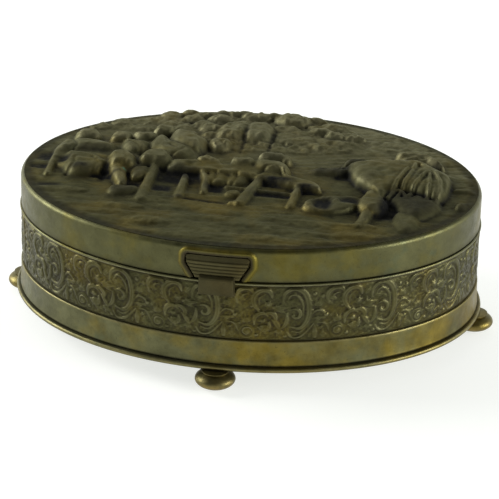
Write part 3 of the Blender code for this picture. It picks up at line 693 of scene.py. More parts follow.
def draw_table(r):
    """A plank on trestles, with a bowl, a loaf and somebody bent over it."""
    # lap under the plank
    r.form(1.2, 2.2, -10.8, -4, -9.4, -1, -6, -0.4, -4.4, -3, -5, -8, -8, -9, -10.4, -7.6)
    # and its other half
    r.form(1.2, 2.2, -5.4, -4, -4.4, -1, -1.6, -0.6, 0.4, -3, 0.2, -7.4, -2.6, -8.8, -5, -7.4)
    r.form(1, 1.5, -4.2, -13.4, -2.4, -10.8, -0.4, -12.2, -0.4, -15.2, -3.2, -15.2)  # shoe
    # painted shade under the plank and between the trestles
    for left, right, near, far, depth in [(-22, -12.6, -10.4, -3.8, 0.4), (-22.2, -17.4, -16.6, -12.6, 0.3),
        (-9.6, -4.8, -13.8, -10.2, 0.3), (3.6, 12.2, -8.4, -5.6, 0.4), (3.2, 11.8, -15, -12.4, 0.3),
        (13.6, 17.6, -10.8, -8.6, 0.3)]:
        r.pit(left, right, near, far, depth, 0.95)
    r.form(1.2, 1.2, -21, 1.4, -14.5, 3.6, -6, 4.2, 0, 4.2, 8.6, 1.6, 11.6, -1.4, 17, -3.2, 19.2, -6.2,
        17, -7.2, 11, -6, 4, -3.6, 0, -2.2, -11, -1, -21, -1.6, base=0.7, blunt=0.4)  # plank
    r.limb([(-11.8, -3.4, 0.9, 1.6), (-10, -8.4, 1, 1.4), (-9.3, -15.6, 0.9, 0.8)], 0.4)  # shin
    for top, foot, width in [((-24.2, -4), (-24, -21.8), 1.3), ((-15.4, -8), (-14.9, -19.2), 1.1),
        ((3.6, -5), (0.6, -20.2), 1.35), ((13.7, -8.6), (13.3, -19.8), 1)]:
        middle = ((top[0] + foot[0]) / 2, (top[1] + foot[1]) / 2)
        r.limb([(*top, width, 1.7), (*middle, width, 1.4), (*foot, 1.15 * width, 0.8)], 0.4)
    r.limb([(0.4, -20.6, 0.9, 0.9), (-1.6, -20.2, 0.7, 0.5)], 0.4)
    r.limb([(-4.2, -11, 0.6, 0.6), (3.4, -12, 0.6, 0.8), (13, -12.6, 0.6, 0.7)], 0.4)
    r.form(1.6, 1.8, -14.9, 5, -14.6, 8.1, -12.9, 9.2, -10.9, 8.7, -9.5, 6.8, -8.4, 4.6, -9.4, 3.4,
        -12, 3.2, base=1.2, rough=0.4)  # loaf
    r.form(1.9, 2, -6.2, 6, -5.8, 8.8, -3.8, 9.8, -2.2, 10, -0.4, 9, 0.2, 6.6, -0.6, 4.2, -3.2, 3.6,
        -5.6, 4.2, base=1.2, rough=0.15)  # bowl
    r.form(1.6, 1.4, 6, 12, 7.4, 13.8, 8.7, 12, 9, 8.6, 7.4, 7.6, 6.2, 9, base=0.6)  # somebody behind
    # the hood is darkened a little: dirt and painted shade
    r.form(2.2, 2.4, -0.1, 10.6, 1, 13.2, 2.5, 15.2, 4.2, 16, 5.8, 14.8, 6.8, 12.6, 7.4, 9.6, 4.7, 8.4,
        1.4, 8.6, base=0.8, soot=0.3)  # hood
    r.form(2.6, 3.2, -0.2, 4.6, 0.1, 8.2, 1.5, 9.9, 4.7, 10.4, 7.1, 9, 8.6, 6.6, 9.4, 3.6, 9.5, 0.2,
        7.4, -0.6, 4.7, -0.2, 2.6, 0.8, 0.8, 1.8, base=0.8)  # bent back
    r.line(0.4, -0.5, 2.6, 2, 1.6, 3.2, 4.4, 5.2, 5.2, 7, 3.8, 8.2, 1)
    r.line(0.5, 0.35, 3, 2.6, 7.6, 5.6, 7.8, 7.6, 5.4, 8.6, 2.6)
    r.line(0.4, -0.45, 2.6, -5.4, 6.6, -3.2, 6, -0.8, 6.8)
    r.line(0.35, -0.35, 2.3, -13.8, 7, -12, 6.4, -10.2, 7.4)
    r.line(0.4, -0.35, 0.9, -8.4, -2, -8, -5.4, -8.8, -8.2)
    r.line(0.4, -0.35, 0.9, -3, -2, -2.8, -5.2, -3.4, -8)


def draw_stooping_figure(r):
    """A figure bent double on the right: cloak with pleats, shaded skirt, legs, a bundle and a basket."""
    # painted shade between the legs
    r.pit(34.6, 39.2, -21.4, -11.8, 0.4, 1)
    # far leg
    r.form(1.2, 2.6, 38.8, -18, 39.6, -15, 43, -15.5, 45.2, -18, 45, -23, 43.6, -27, 41, -26.6, 39.4, -23)
    # the skirt is darkened as painted shade, where it lies in shadow
    r.form(1.8, 3.4, 34.8, -9, 35.8, -6, 37.8, -3.6, 44, -3, 46.4, -5.6, 49.2, -7, 49.2, -11.5, 47.6, -15,
        44.9, -18.6, 42.2, -19.4, 40.2, -16.6, 38.4, -12.4, 36.6, -11, soot=0.62)  # skirt
    r.form(3.1, 4.6, 23.5, 9.2, 25.2, 11.4, 27.1, 13.3, 29.7, 15.9, 31.6, 17.6, 33.6, 18.5, 37.8, 18.9,
        40.4, 19, 42.6, 18.1, 44.4, 15.8, 46.9, 12.6, 49.6, 9.2, 49.8, 5, 49.8, 1, 49.4, -3.4, 48.2, -7,
        46.2, -7.2, 44, -5.4, 40.4, -4.4, 37.4, -4.8, 36.2, -7.6, 35.2, -10.2, 33, -8.8, 31.4, -5.6,
        30, -3.4, 28.2, -1.8, 26.8, -0.2, 25.5, 3, 24.2, 6, base=0.15, blunt=0.45)  # cloak
    r.form(2, 2.6, 30, -3.4, 32.9, -3.2, 34.6, -6.8, 36, -10.4, 36.4, -14, 34.6, -17, 31.4, -17.8,
        29.2, -15, 29.2, -11, 30.3, -6.8, base=0.3)  # near leg
    r.limb([(32.3, -20, 1.6, 1.4), (32, -23.4, 1.4, 1.1), (31, -27.2, 1.3, 0.8)], 0.45)
    r.limb([(31.2, -27.6, 1, 0.8), (28.2, -27.6, 0.8, 0.6), (25, -27.2, 0.6, 0.4)], 0.45)
    r.limb([(33.2, -26.8, 1, 0.8), (35, -27.2, 0.9, 0.6)], 0.45)
    for pleat in (
        path(38.7, 12, 37.8, 8.4, 37.1, 4.9, 36.3, -0.4, 35.2, -5.7),
        path(40.2, 15.4, 39.4, 8, 38.7, 3.6, 38.2, -0.4, 37.7, -3.4),
        path(43.3, 10.6, 42.2, 6.6, 41.2, 2.2, 40.4, -2.8),
        path(44.2, 11, 44.8, 5.4, 45, -0.4, 44.9, -3.4),
        path(45.4, 11.4, 47.2, 6.6, 47.9, 0.6, 47.5, -4.6),
    ):
        for aside, width, rise in ((0, 0.38, 0.5), (0.85, 0.42, -0.48), (-0.8, 0.42, -0.3)):
            r.line(width, rise, 2.9, *[value for x, y in pleat for value in (x + aside, y)])
    r.line(0.9, -0.45, 2.9, 33.2, 4.2, 34.6, -1.6, 34.8, -7)
    r.line(0.9, -0.28, 3, 31.4, 8.8, 33.2, 6, 36, 9)
    r.line(0.8, -0.25, 3, 28.6, 8.4, 29.4, 5.4, 31.4, 3.6)
    r.line(0.7, -0.6, 2.9, 41.2, 16.4, 41.8, 13.6)
    r.line(0.4, 0.45, 2.4, 31.2, -0.8, 33.2, -4.6, 34.6, -8.6)
    r.limb([(39.8, 10.6, 0.9, 3.3), (42.8, 9.6, 0.9, 3.3), (45.4, 6.6, 0.8, 3), (48, 3.2, 0.7, 2.4)])
    r.form(2, 2.2, 34.8, 20.4, 35, 22.6, 36.2, 24, 39.6, 24.5, 42.4, 23.8, 44.8, 22, 46.6, 19, 47.8, 15.6,
        46, 14.8, 43.4, 17.6, 40, 18.2, 36.6, 18.2, base=0.5, rough=0.3)  # cap
    r.line(0.6, -0.6, 2.2, 36, 21.4, 39.6, 22.2, 43, 21)
    # painted shade under the cap
    r.pit(44.8, 47.6, 10.6, 14.4, 0.3, 0.85)
    # the small hooded head is darkened as painted shade
    r.form(1.5, 2, 22.5, 12.4, 23, 14.9, 24.5, 16.1, 27.3, 15.9, 28.8, 14.4, 27.4, 11.8, 24.6, 10.4,
        22.6, 9.8, base=0.3, soot=0.8)  # small hooded head
    # the arm is darkened as painted shade
    r.form(1.2, 1.6, 14, 4.8, 16.6, 7, 20.1, 8.1, 22.8, 10.2, 24.6, 8.8, 25, 5.4, 22.8, 3.6, 19.7, 4.4,
        16.6, 3.6, soot=0.75, rough=0.3)  # their arm on the table
    # painted shade beneath the arm
    r.pit(21.4, 25.4, 0.6, 3.6, 0.3, 0.95)
    r.limb([(37.4, -8.2, 0.7, 2.2), (38.6, -6.6, 0.7, 2.4), (40, -8, 0.7, 2.2), (41.2, -10.8, 0.6, 2)])
    r.limb([(36.4, -11, 0.6, 2), (37.6, -8.6, 0.6, 2.2)])
    draw_basket(r, 21.4, -15.2)
    r.limb([(52.6, 0.4, 0.9, 0.7), (55.4, 0.9, 1, 0.7), (57.6, 0.2, 0.9, 0.5)])
    # a bundle by itself at the edge
    r.form(1, 1.6, 53, -9.4, 53.5, -6.4, 55.8, -4.6, 57.4, -4.4, 57.2, -8, 55.6, -10.4, rough=0.3)


def draw_basket(r, x, y):
    """A round basket lying on its side, its mouth to the left."""
    body = path(-5.4, -3, -4.4, 0.4, -2.4, 3.6, 0.6, 5.6, 3.6, 6.2, 7.6, 5.6, 8.6, 2, 6.6, -1.8, 3.4, -4.4,
        -0.4, -5.4, -3.8, -5)
    r.form(1.5, 2.6, *[value for aside, along in body for value in (x + aside, y + along)], blunt=0.4)
    # painted shade: the dark mouth and the shade beside it
    r.pit(x - 2.9, x + 1.9, y - 5.8, y + 0.6, 0.9, 1)
    r.pit(x + 3.4, x + 8, y - 1.2, y + 2.2, 0.5, 0.95)
    for reach, rise in ((4, 0.4), (3.1, 0.3)):
        r.crease(spiral(x - 0.4, y - 2.6, reach, reach, 20, 250, 14), 0.4, rise)
    for turn in range(20, 240, 22):  # spokes in the mouth
        c, s = math.cos(math.radians(turn)), math.sin(math.radians(turn))
        r.crease([(x - 0.4 + reach * c, y - 2.6 + reach * s) for reach in (3.0, 4.3)], 0.2, -0.22)


def draw_pastoral_scene():
    """The lid's whole scene as a height field, seen from above."""
    r = Relief(-HALF_X, HALF_X, -HALF_Y, HALF_Y, 0.16, melt=0.5)
    rows, cols = r.height.shape
    r.rough = 0.6 * value_noise(rows, cols, 48, 62, 31) + 0.7 * value_noise(rows, cols, 100, 128, 32)
    draw_ground(r)
    draw_trees(r)
    draw_seated_group(r)
    draw_table(r)
    draw_stooping_figure(r)
    creases = 0.6 - np.abs(value_noise(rows, cols, 34, 46, 34))  # folds on whatever stands high
    r.height += 0.36 * creases * np.clip(r.height - 0.8, 0, 1)
    r.height += 0.05 * value_noise(rows, cols, 150, 105, 33) + 0.05 * r.rough
    return r


def make_lid_plaque(materials):
    """Crowned repousse sheet: the scene's height on a grid that follows the oval."""
    r = draw_pastoral_scene()
    wear, hollow = wear_and_hollow(blur(r.height, 1), r.step, 0.7, 2.4, 0.7, 0.9)
    r.height = blur(r.height, 1)
    columns, rows = 560, 440
    half_x, half_y = PLAQUE_HIGH.x, PLAQUE_HIGH.y
    u, v = np.meshgrid(np.linspace(-1, 1, columns), np.linspace(-1, 1, rows))
    x = half_x * u * np.sqrt(1 - v * v / 2)
    y = half_y * v * np.sqrt(1 - u * u / 2)
    radius = np.sqrt((x / half_x) ** 2 + (y / half_y) ** 2)
    edge = PLAQUE_LOW.z + 0.6
    crown = 0.8 * (1 - radius ** 2)
    fade = np.clip((1 - radius) / 0.04, 0, 1)  # the scene sinks away at the very edge
    fade = fade * fade * (3 - 2 * fade)
    z = np.minimum(edge + crown + fade * r.sample(x, y), PLAQUE_HIGH.z + 0.8)
    layers = {}
    for name, field in (("wear", wear), ("hollow", np.clip(hollow + blur(r.soot, 2), 0, 1))):
        r.height = field
        layers[name] = r.sample(x, y)
    # a dark ring round the plaque's edge: a dark joint with the rim and painted shade
    layers["hollow"] = np.maximum(layers["hollow"], 0.6 * np.clip((radius - 0.945) / 0.03, 0, 1))
    back = np.clip((y + 8.0) / 44.0, 0, 1)  # painted light: the scene lightened towards the back, its dark hollows weakened there
    layers["wear"] += 0.7 * back
    layers["hollow"] *= 1 - 0.35 * back
    layers["wear"] *= 1 - np.clip((radius - 0.955) / 0.03, 0, 1)
    layers["speck"] = np.exp(-((x + 31.2) / 0.42) ** 2 - ((y + 8.0) / 0.6) ** 2)  # a crumb of verdigris
    mesh = closed_sheet("lid_relief_mesh", np.stack([x, y, z], -1), PLAQUE_LOW.z, layers)
    add_piece("lid_relief", mesh, "lid", materials["relief"], ["lid_plaque"], 60)


def closed_sheet(name, points, bottom, layers):
    """A height field's grid closed by a wall and a flat underside."""
    mesh = grid_mesh(name, points, layers=layers)
    bm = bmesh.new()
    bm.from_mesh(mesh)
    rim = [e for e in bm.edges if e.is_boundary]
    made = bmesh.ops.extrude_edge_only(bm, edges=rim)["geom"]
    lowered = [g for g in made if isinstance(g, bmesh.types.BMVert)]
    for vert in lowered:
        vert.co.z = bottom * MM
    bmesh.ops.holes_fill(bm, edges=[e for e in bm.edges if e.is_boundary], sides=0)
    bmesh.ops.recalc_face_normals(bm, faces=bm.faces)
    bm.to_mesh(mesh)
    bm.free()
    return mesh


# --- Embossed band --------------------------------------------------------------
def spiral(x, y, start_radius, end_radius, start_deg, end_deg, steps=14):
    """Points along a spiral round (x, y)."""
    points = []
    for step in range(steps + 1):
        share = step / steps
        angle = math.radians(start_deg + (end_deg - start_deg) * share)
        radius = start_radius + (end_radius - start_radius) * share
        points.append((x + radius * math.cos(angle), y + radius * math.sin(angle)))
    return points


def stroke(r, points, thick, rise, start=0.35, end=0.35, vein=True):
    """A scroll: a tapered rounded ridge with a fine vein down its middle."""
    count = len(points) - 1
    limb = []
    for index, (x, y) in enumerate(points):
        share = index / count
        swell = math.sin(math.pi * min(1.0, max(0.0, share))) ** 0.6
        tip = start + (end - start) * share
        size = tip + (1.0 - tip) * swell
        limb.append((x, y, thick * size, rise * (0.55 + 0.45 * size)))
    r.limb(limb, 0.45)
    if vein:
        r.crease(points[1:-1], 0.13, -0.13 * rise / 0.5)


def rosette(r, x, y, radius, rise):
    """A small flower: a raised ring with a button in the middle."""
    r.dome(x, y, radius, radius, rise * 0.7, blunt=0.3)
    r.crease(spiral(x, y, radius * 0.62, radius * 0.62, 0, 360, 16), radius * 0.17, -rise * 0.55)
    r.dome(x, y, radius * 0.36, radius * 0.36, rise)


def leaf(r, x, y, length, width, turn, rise):
    """A pointed leaf with a midrib, its base at (x, y)."""
    c, s = math.cos(math.radians(turn)), math.sin(math.radians(turn))
    def at(along, across=0.0):
        return (x + along * c - across * s, y + along * s + across * c)
    r.limb([(*at(0.0), width * 0.35, rise * 0.7), (*at(length * 0.45), width * 0.5, rise),
            (*at(length), width * 0.12, rise * 0.5)], 0.5)
    r.crease([at(0.1 * length), at(0.85 * length)], 0.11, -0.12)


def draw_cartouche(r, x):
    """One unit of the scrollwork, centred at x: C scrolls, curls, a blossom, leaves and rosettes."""
    def scroll(thick, rise, *flat, **more):
        rounded = smooth_line(np.array(path(*flat), float))
        stroke(r, [(x + px, py) for px, py in rounded], thick, rise, **more)

    # the right C, the left one and the arch beside it
    scroll(0.8, 0.5, 0, 10.6, 0.1, 12.6, 2.6, 14.2, 5.4, 12.8, 6.4, 9.4, 6.2, 5.6, 4.2, 3, 1.8, 3.8)
    scroll(0.88, 0.5, -2.7, 11.4, -3.2, 13.2, -5.2, 13.6, -7.2, 12, -7.3, 9.6, -5.6, 7.6)
    scroll(0.8, 0.46, -11, 9.8, -11.6, 12.2, -10, 13.8, -8, 13.8, -6.9, 12.2)
    scroll(0.72, 0.48, -6.9, 4.2, -6.9, 6.4, -5, 7.6, -3.6, 6.6)  # four curls
    scroll(0.72, 0.48, -4.9, 7.2, -2.8, 7.6, -1.6, 6.2, -2, 4.4)
    scroll(0.72, 0.48, -6, 3.6, -4.6, 2.6, -3.2, 3.4, -3.4, 5)
    scroll(0.72, 0.48, -2.6, 5.6, -1.4, 4.4, -0.6, 2.8)
    scroll(0.36, 0.34, 0.9, 10.4, 1.8, 12.3, 3.6, 12, 5, 9.6, 4.8, 6.6, vein=False)  # inner lines
    scroll(0.32, 0.32, -5.8, 9.4, -5.9, 11.4, -4.4, 12.2, vein=False)
    scroll(0.34, 0.32, -10.2, 10.2, -9.8, 12.2, -8.4, 12.3, vein=False)
    for step in range(8):  # leafy outer edge of the right C
        angle = math.radians(52 - 15 * step)
        r.dome(x + 2.5 + 4.5 * math.cos(angle), 8.7 + 5 * math.sin(angle), 0.5, 0.42, 0.36)
    for step in range(6):  # and of the left one
        angle = math.radians(120 + 17 * step)
        r.dome(x - 4.6 + 3.3 * math.cos(angle), 10.4 + 3.4 * math.sin(angle), 0.46, 0.4, 0.34)
    stroke(r, spiral(x + 3, 6.9, 1.7, 0.5, 130, -190), 0.5, 0.44)
    scroll(0.62, 0.44, 0.9, 7.4, 1, 5.6, 0.6, 4.2, -0.8, 3)
    r.dome(x - 4.9, 5.3, 0.8, 0.7, 0.42)
    scroll(0.42, 0.38, 1, 2.4, 2, 0.7, 4.6, 1, 7.4, 4.4, start=0.6, end=0.5, vein=False)  # stems
    scroll(0.34, 0.32, 2.2, 2.6, 4.2, 2, 6.4, 4.6, start=0.6, end=0.5, vein=False)
    scroll(0.42, 0.36, 6.8, 6.6, 8, 8.2, 9.8, 7.8, 10.6, 6.2, vein=False)
    scroll(0.34, 0.34, 8.6, 4.8, 10.4, 4.6, 11.4, 2.2, vein=False)
    for turn in range(0, 360, 60):  # blossom between the scrolls
        leaf(r, x - 3.6, 9.6, 1.25, 1, turn + 15, 0.42)
    r.dome(x - 3.6, 9.6, 0.5, 0.5, 0.55)
    for turn, length, wide in (
        (8, 2.9, 1.6), (40, 2.2, 1.2), (-28, 2.4, 1.2), (150, 1.6, 1.1), (80, 1.8, 1),
    ):
        leaf(r, x - 1.6, 8.5, length, wide, turn, 0.42)
    for px, py, wide, rise, blades in (  # tufts of leaves: (turn, length) of each blade
        (-4.2, 4, 1.2, 0.44, ((200, 2), (240, 2.4), (285, 2.2), (320, 1.8))),
        (-0.9, 3, 1.05, 0.42, ((255, 1.9), (215, 1.8), (300, 1.7))),
        (-8.8, 5, 1, 0.36, ((100, 1.8), (60, 1.7), (140, 1.7), (20, 1.5), (180, 1.5))),
        (8.4, 9.2, 1.1, 0.38, ((70, 2), (110, 1.9), (150, 1.6), (30, 1.5))),
        (9.2, 6, 1, 0.36, ((185, 2.2), (0, 1.6), (215, 1.8))),
    ):
        for turn, length in blades:
            leaf(r, x + px, py, length, wide, turn, rise)
    leaf(r, x + 7.8, 1, 3.1, 1.7, 92, 0.48)
    leaf(r, x + 6.4, 1, 1.7, 0.8, 70, 0.34)
    rosette(r, x - 8.7, 2.3, 1.95, 0.42)
    stroke(r, spiral(x - 8.7, 2.3, 1.4, 0.4, 0, 400), 0.26, 0.44, vein=False)
    rosette(r, x + 7.6, 12.3, 1.15, 0.38)
    for px, py, half_x, half_y, rise in (  # beads
        (10.5, 6.7, 0.6, 0.6, 0.46), (0.6, 1.2, 0.55, 0.5, 0.36), (-6.4, 1.4, 0.6, 0.5, 0.34),
        (9.6, 11.6, 0.55, 0.7, 0.34),
    ):
        r.dome(x + px, py, half_x, half_y, rise)


def draw_scrollwork(pitch, height):
    """The band's repeating unit, with its neighbours' overhanging parts, on a hammered ground."""
    r = Relief(-1.5 * pitch, 1.5 * pitch, 0.0, height, 0.07)
    rng = np.random.default_rng(5)
    for _ in range(1100):
        x, y = rng.uniform(-0.5, 0.5) * pitch, rng.uniform(0.3, height - 0.3)
        size, rise = rng.uniform(0.2, 0.55), rng.uniform(0.05, 0.16)
        for shift in (-pitch, 0.0, pitch):
            r.dome(x + shift, y, size, 0.8 * size, rise)
    for _ in range(46):
        x, y = rng.uniform(-0.5, 0.5) * pitch, rng.uniform(1.2, height - 1.2)
        turn, length, rise = rng.uniform(0, 360), rng.uniform(1.3, 2.4), rng.uniform(0.22, 0.36)
        for shift in (-pitch, 0.0, pitch):
            leaf(r, x + shift, y, length, 0.55 * length, turn, rise)
    for shift in (-2, -1, 0, 1):
        draw_cartouche(r, shift * pitch)
    return r


def make_embossed_band(materials):
    """Sheet band with scrollwork between two plain folded edges."""
    base, normals, distance, around = oval_samples(BAND_STEPS)
    pitch = around / SCROLL_REPEATS
    tall = BAND_HIGH.z - BAND_LOW.z
    r = draw_scrollwork(pitch, tall)
    wear, hollow = wear_and_hollow(r.height, r.step, 0.35, 1.1, 2.6, 2.8)
    r.height = blur(r.height, 1)
    rows = 110
    up = np.linspace(0.0, tall, rows)
    along = (distance - SCROLL_START + pitch / 2) % pitch - pitch / 2
    u, v = np.meshgrid(along, up)
    fields = [r.sample(u, v)]
    for field in (wear, hollow):
        r.height = field
        fields.append(r.sample(u, v))
    relief, wear, hollow = fields
    margin = np.minimum(up, tall - up)[:, None]
    fade = np.clip(margin / 0.5, 0, 1)
    out = -0.26 + fade * relief
    hollow = np.maximum(hollow, 0.6 * np.clip(1 - margin / 0.45, 0, 1))
    wear = fade * wear
    inner = np.full((1, BAND_STEPS), -0.65)
    out = np.vstack([inner, out, inner])
    z = np.concatenate([[0.0], up, [tall]])[:, None] + BAND_LOW.z
    xy = base[None] + normals[None] * out[..., None]
    points = np.concatenate([xy, np.broadcast_to(z, out.shape)[..., None]], -1)
    flat = np.zeros((1, BAND_STEPS))
    layers = {"wear": np.vstack([flat, wear, flat]), "hollow": np.vstack([flat, hollow, flat])}
    mesh = grid_mesh("scroll_band_mesh", points, True, True, layers=layers)
    add_piece("scroll_band", mesh, "case", materials["band"], ["embossed_band"], 70)


# --- Plain rings, base and feet -------------------------------------------------
def boolean_cut(mesh, cutter_mesh):
    """The mesh with the cutter's volume taken out of it."""
    body, tool = link("cut_body", mesh), link("cut_tool", cutter_mesh)
    modifier = body.modifiers.new("Cut", "BOOLEAN")
    modifier.operation = "DIFFERENCE"
    modifier.solver = "EXACT"
    modifier.object = tool
    bpy.context.view_layer.update()
    result = evaluated(body)
    bpy.data.objects.remove(body)
    bpy.data.objects.remove(tool)
    return result


def evaluated(form):
    """A copy of an object's mesh with its modifiers applied."""
    graph = bpy.context.evaluated_depsgraph_get()
    return bpy.data.meshes.new_from_object(form.evaluated_get(graph))


def prism_mesh(name, outline, near_y, far_y):
    """A prism through an (x, z) outline."""
    rows = [[(x, y, z) for x, z in outline] for y in (near_y, far_y)]
    return grid_mesh(name, np.array(rows), False, True, (0, 1))


def window_outline(grow, bottom):
    """The catch's window, from its bottom right round to its bottom left."""
    corner = 1.0 + grow
    half_top, half_bottom = 8.1 + grow, 5.9 + grow
    top = 35.0 + grow
    right = [(half_bottom, bottom), (half_bottom, RIM_LOW.z), (half_top, 32.3)]
    right += arc(half_top - corner, top - corner, corner, corner, 0, 90, 8)
    return right + [(-x, z) for x, z in reversed(right)]


def make_rim(materials):
    """Lid rim: upright wall, rounded shoulder, and the inner lip that carries the plaque."""
    low, high = RIM_LOW.z, RIM_HIGH.z
    lip_low, lip_high = 35.8, 36.3
    # Third numbers: a dark joint and painted shade along the lower edge at the seam, painted shade on the
    # lip under the plaque.
    profile = [(-0.55, low, 0.8), (-0.08, low, 0.8), (0.0, low + 0.1, 0.5), (0.0, low + 0.5, 0.15)]
    profile += [(0.0, low + 0.5 + (high - SHOULDER - low - 0.5) * k / 6) for k in range(1, 7)]
    profile += arc(-SHOULDER, high - SHOULDER, SHOULDER, SHOULDER, 8, 70, 7)
    profile += [(-0.86, lip_high + 0.05, 0.9), (-3.4, lip_high, 0.9)]
    profile += [(-3.4, lip_low, 0.3), (-0.6, lip_low, 0.6)]
    profile += [(-0.6, low + (lip_low - low) * k / 4, 0.2) for k in range(3, 0, -1)]
    mesh = sweep("rim_mesh", profile, waver=0.035, seed=3)
    window = prism_mesh("window_tool", window_outline(0.0, 20.0), -52.0, -44.6)
    mesh = boolean_cut(mesh, window)
    add_piece("lid_rim_shell", mesh, "lid", materials["rim"], ["lid_rim"], 35)


def make_bead(materials):
    """Half-round ring that closes the body under the lid, rubbed along its middle."""
    middle, half = (BEAD_LOW.z + BEAD_HIGH.z) / 2, (BEAD_HIGH.z - BEAD_LOW.z) / 2
    profile = [(-0.65, BEAD_HIGH.z, 0.5), (-0.65, BEAD_LOW.z, 0.5)]
    profile += arc(-0.05, middle, 0.4, half, -90, 90, 10)
    mesh = sweep("bead_mesh", profile, waver=0.03, seed=4)
    add_layer(mesh, "wear", np.repeat([0.0] * 4 + [0.45, 0.8, 0.9, 0.8, 0.45] + [0.0] * 4, OVAL_STEPS))
    add_piece("seam_bead", mesh, "case", materials["rim"], ["bead_ring"])


def make_plinth(materials):
    """Plain ring under the band: it flares out to a foot and to a rubbed upper edge."""
    low, high = PLINTH_LOW.z, PLINTH_HIGH.z
    flare = arc(0.62, high - 0.7, 0.34, high - low - 0.9, 262, 180, 12)
    # Third numbers: painted shade on its underside and at the flare's foot, where it stands on the flange.
    profile = [(-0.65, high, 0.4), (-0.65, low, 0.4), (0.5, low, 0.7)] + flare
    profile[3] = (*profile[3][:2], 0.45)
    profile += [(0.28, high - 0.35), (0.2, high - 0.08), (0.1, high, 0.2)]
    mesh = sweep("plinth_mesh", profile, waver=0.04, seed=5)
    add_layer(mesh, "wear", np.repeat([0.0] * (len(profile) - 3) + [0.35, 0.9, 0.3], OVAL_STEPS))
    add_piece("plinth_skirt", mesh, "case", materials["plinth"], ["plinth_ring"])


def make_base(materials):
    """Base plate with its rounded flange; a shallow dish stiffens the underside."""
    low, high = BASE_LOW.z, BASE_HIGH.z
    middle = (low + high) / 2
    half = (high - low) / 2
    # Third numbers: painted shade on the flange's top where the plinth stands, and on the underside.
    profile = [(-6.0, high, 0.2), (-0.4, high, 0.7), (0.75, high, 0.45), (0.95, high - 0.02, 0.2)]
    profile += arc(0.95, middle, 0.55, half, 80, -80, 10)
    profile += [(0.8, low, 0.1), (-2.0, low, 0.4), (-3.0, low + 0.25, 0.6), (-8.0, low + 0.25, 0.2)]
    points_wear = [0.0] * 4 + [0.2, 0.4, 0.6, 0.75, 0.8, 0.8, 0.75, 0.6, 0.4, 0.3, 0.2] + [0.0] * 4
    mesh = sweep("base_mesh", profile, closed=False, waver=0.03, seed=6)
    add_layer(mesh, "wear", np.repeat(points_wear, OVAL_STEPS))
    add_piece("base_flange", mesh, "case", materials["plinth"], ["base_plate"])


def make_feet(materials):
    """Turned bun feet with a thin collar."""
    steps = 56
    for side in ("front", "back", "left", "right"):
        node = "foot_" + side
        low, high = box_mm(node)
        profile = [(0.0, high.z), (3.2, high.z), (3.45, high.z - 0.05), (3.45, high.z - 0.16)]
        profile += [(3.2, high.z - 0.24, 0.1)] + arc(0.0, 2.35, 5.0, 2.3, 52, -71, 20)
        profile += [(1.3, 0.0, 0.6), (0.0, 0.0, 0.6)]
        # Third numbers: painted shade on the underside. Wear: the bun's belly rubbed bright; everywhere
        # else, the top and collar in the flange's shade included, is lightened to 0.4 as painted light.
        hollow = np.repeat([p[2] if len(p) > 2 else 0.0 for p in profile], steps)
        wear = [1 - abs(p[1] - 1.9) / 1.5 if p[0] > 3.5 and p[1] < 2.9 else 0.4 for p in profile]
        layers = {"hollow": hollow, "wear": np.repeat(np.clip(wear, 0, 1), steps)}
        mesh = turned(node + "_mesh", profile, steps, (low + high) / 2, 1.0, 1.0, 0.001, layers)
        add_piece("bun_" + node, mesh, "case", materials["foot"], [node], 50)


# --- Catch ----------------------------------------------------------------------
def bend_to_front(points):
    """Turn (x, depth, z) points, with depth outward, into places on the oval's front wall."""
    out = points.copy()
    out[..., 1] = front_y(points[..., 0]) - points[..., 1]
    return out


def loft_on_front(name, levels, half_width, front, back):
    """A solid on the front wall: at each height a closed section from -half to +half width."""
    side = np.linspace(-1.0, 1.0, FRONT_STEPS)
    round_off = (1.0 - np.abs(side) ** 12) ** (1 / 6)
    rows = []
    for z in levels:
        half = half_width(z)
        depth = back(z) + (front(side * half, z) - back(z)) * round_off
        level = np.full(FRONT_STEPS, z)
        face = np.stack([side * half, depth, level], -1)
        rear = np.stack([side[::-1] * half, np.full(FRONT_STEPS, back(z)), level], -1)[1:-1]
        rows.append(np.vstack([face, rear]))
    points = bend_to_front(np.array(rows))
    return grid_mesh(name, points, False, True, (0, len(levels) - 1))


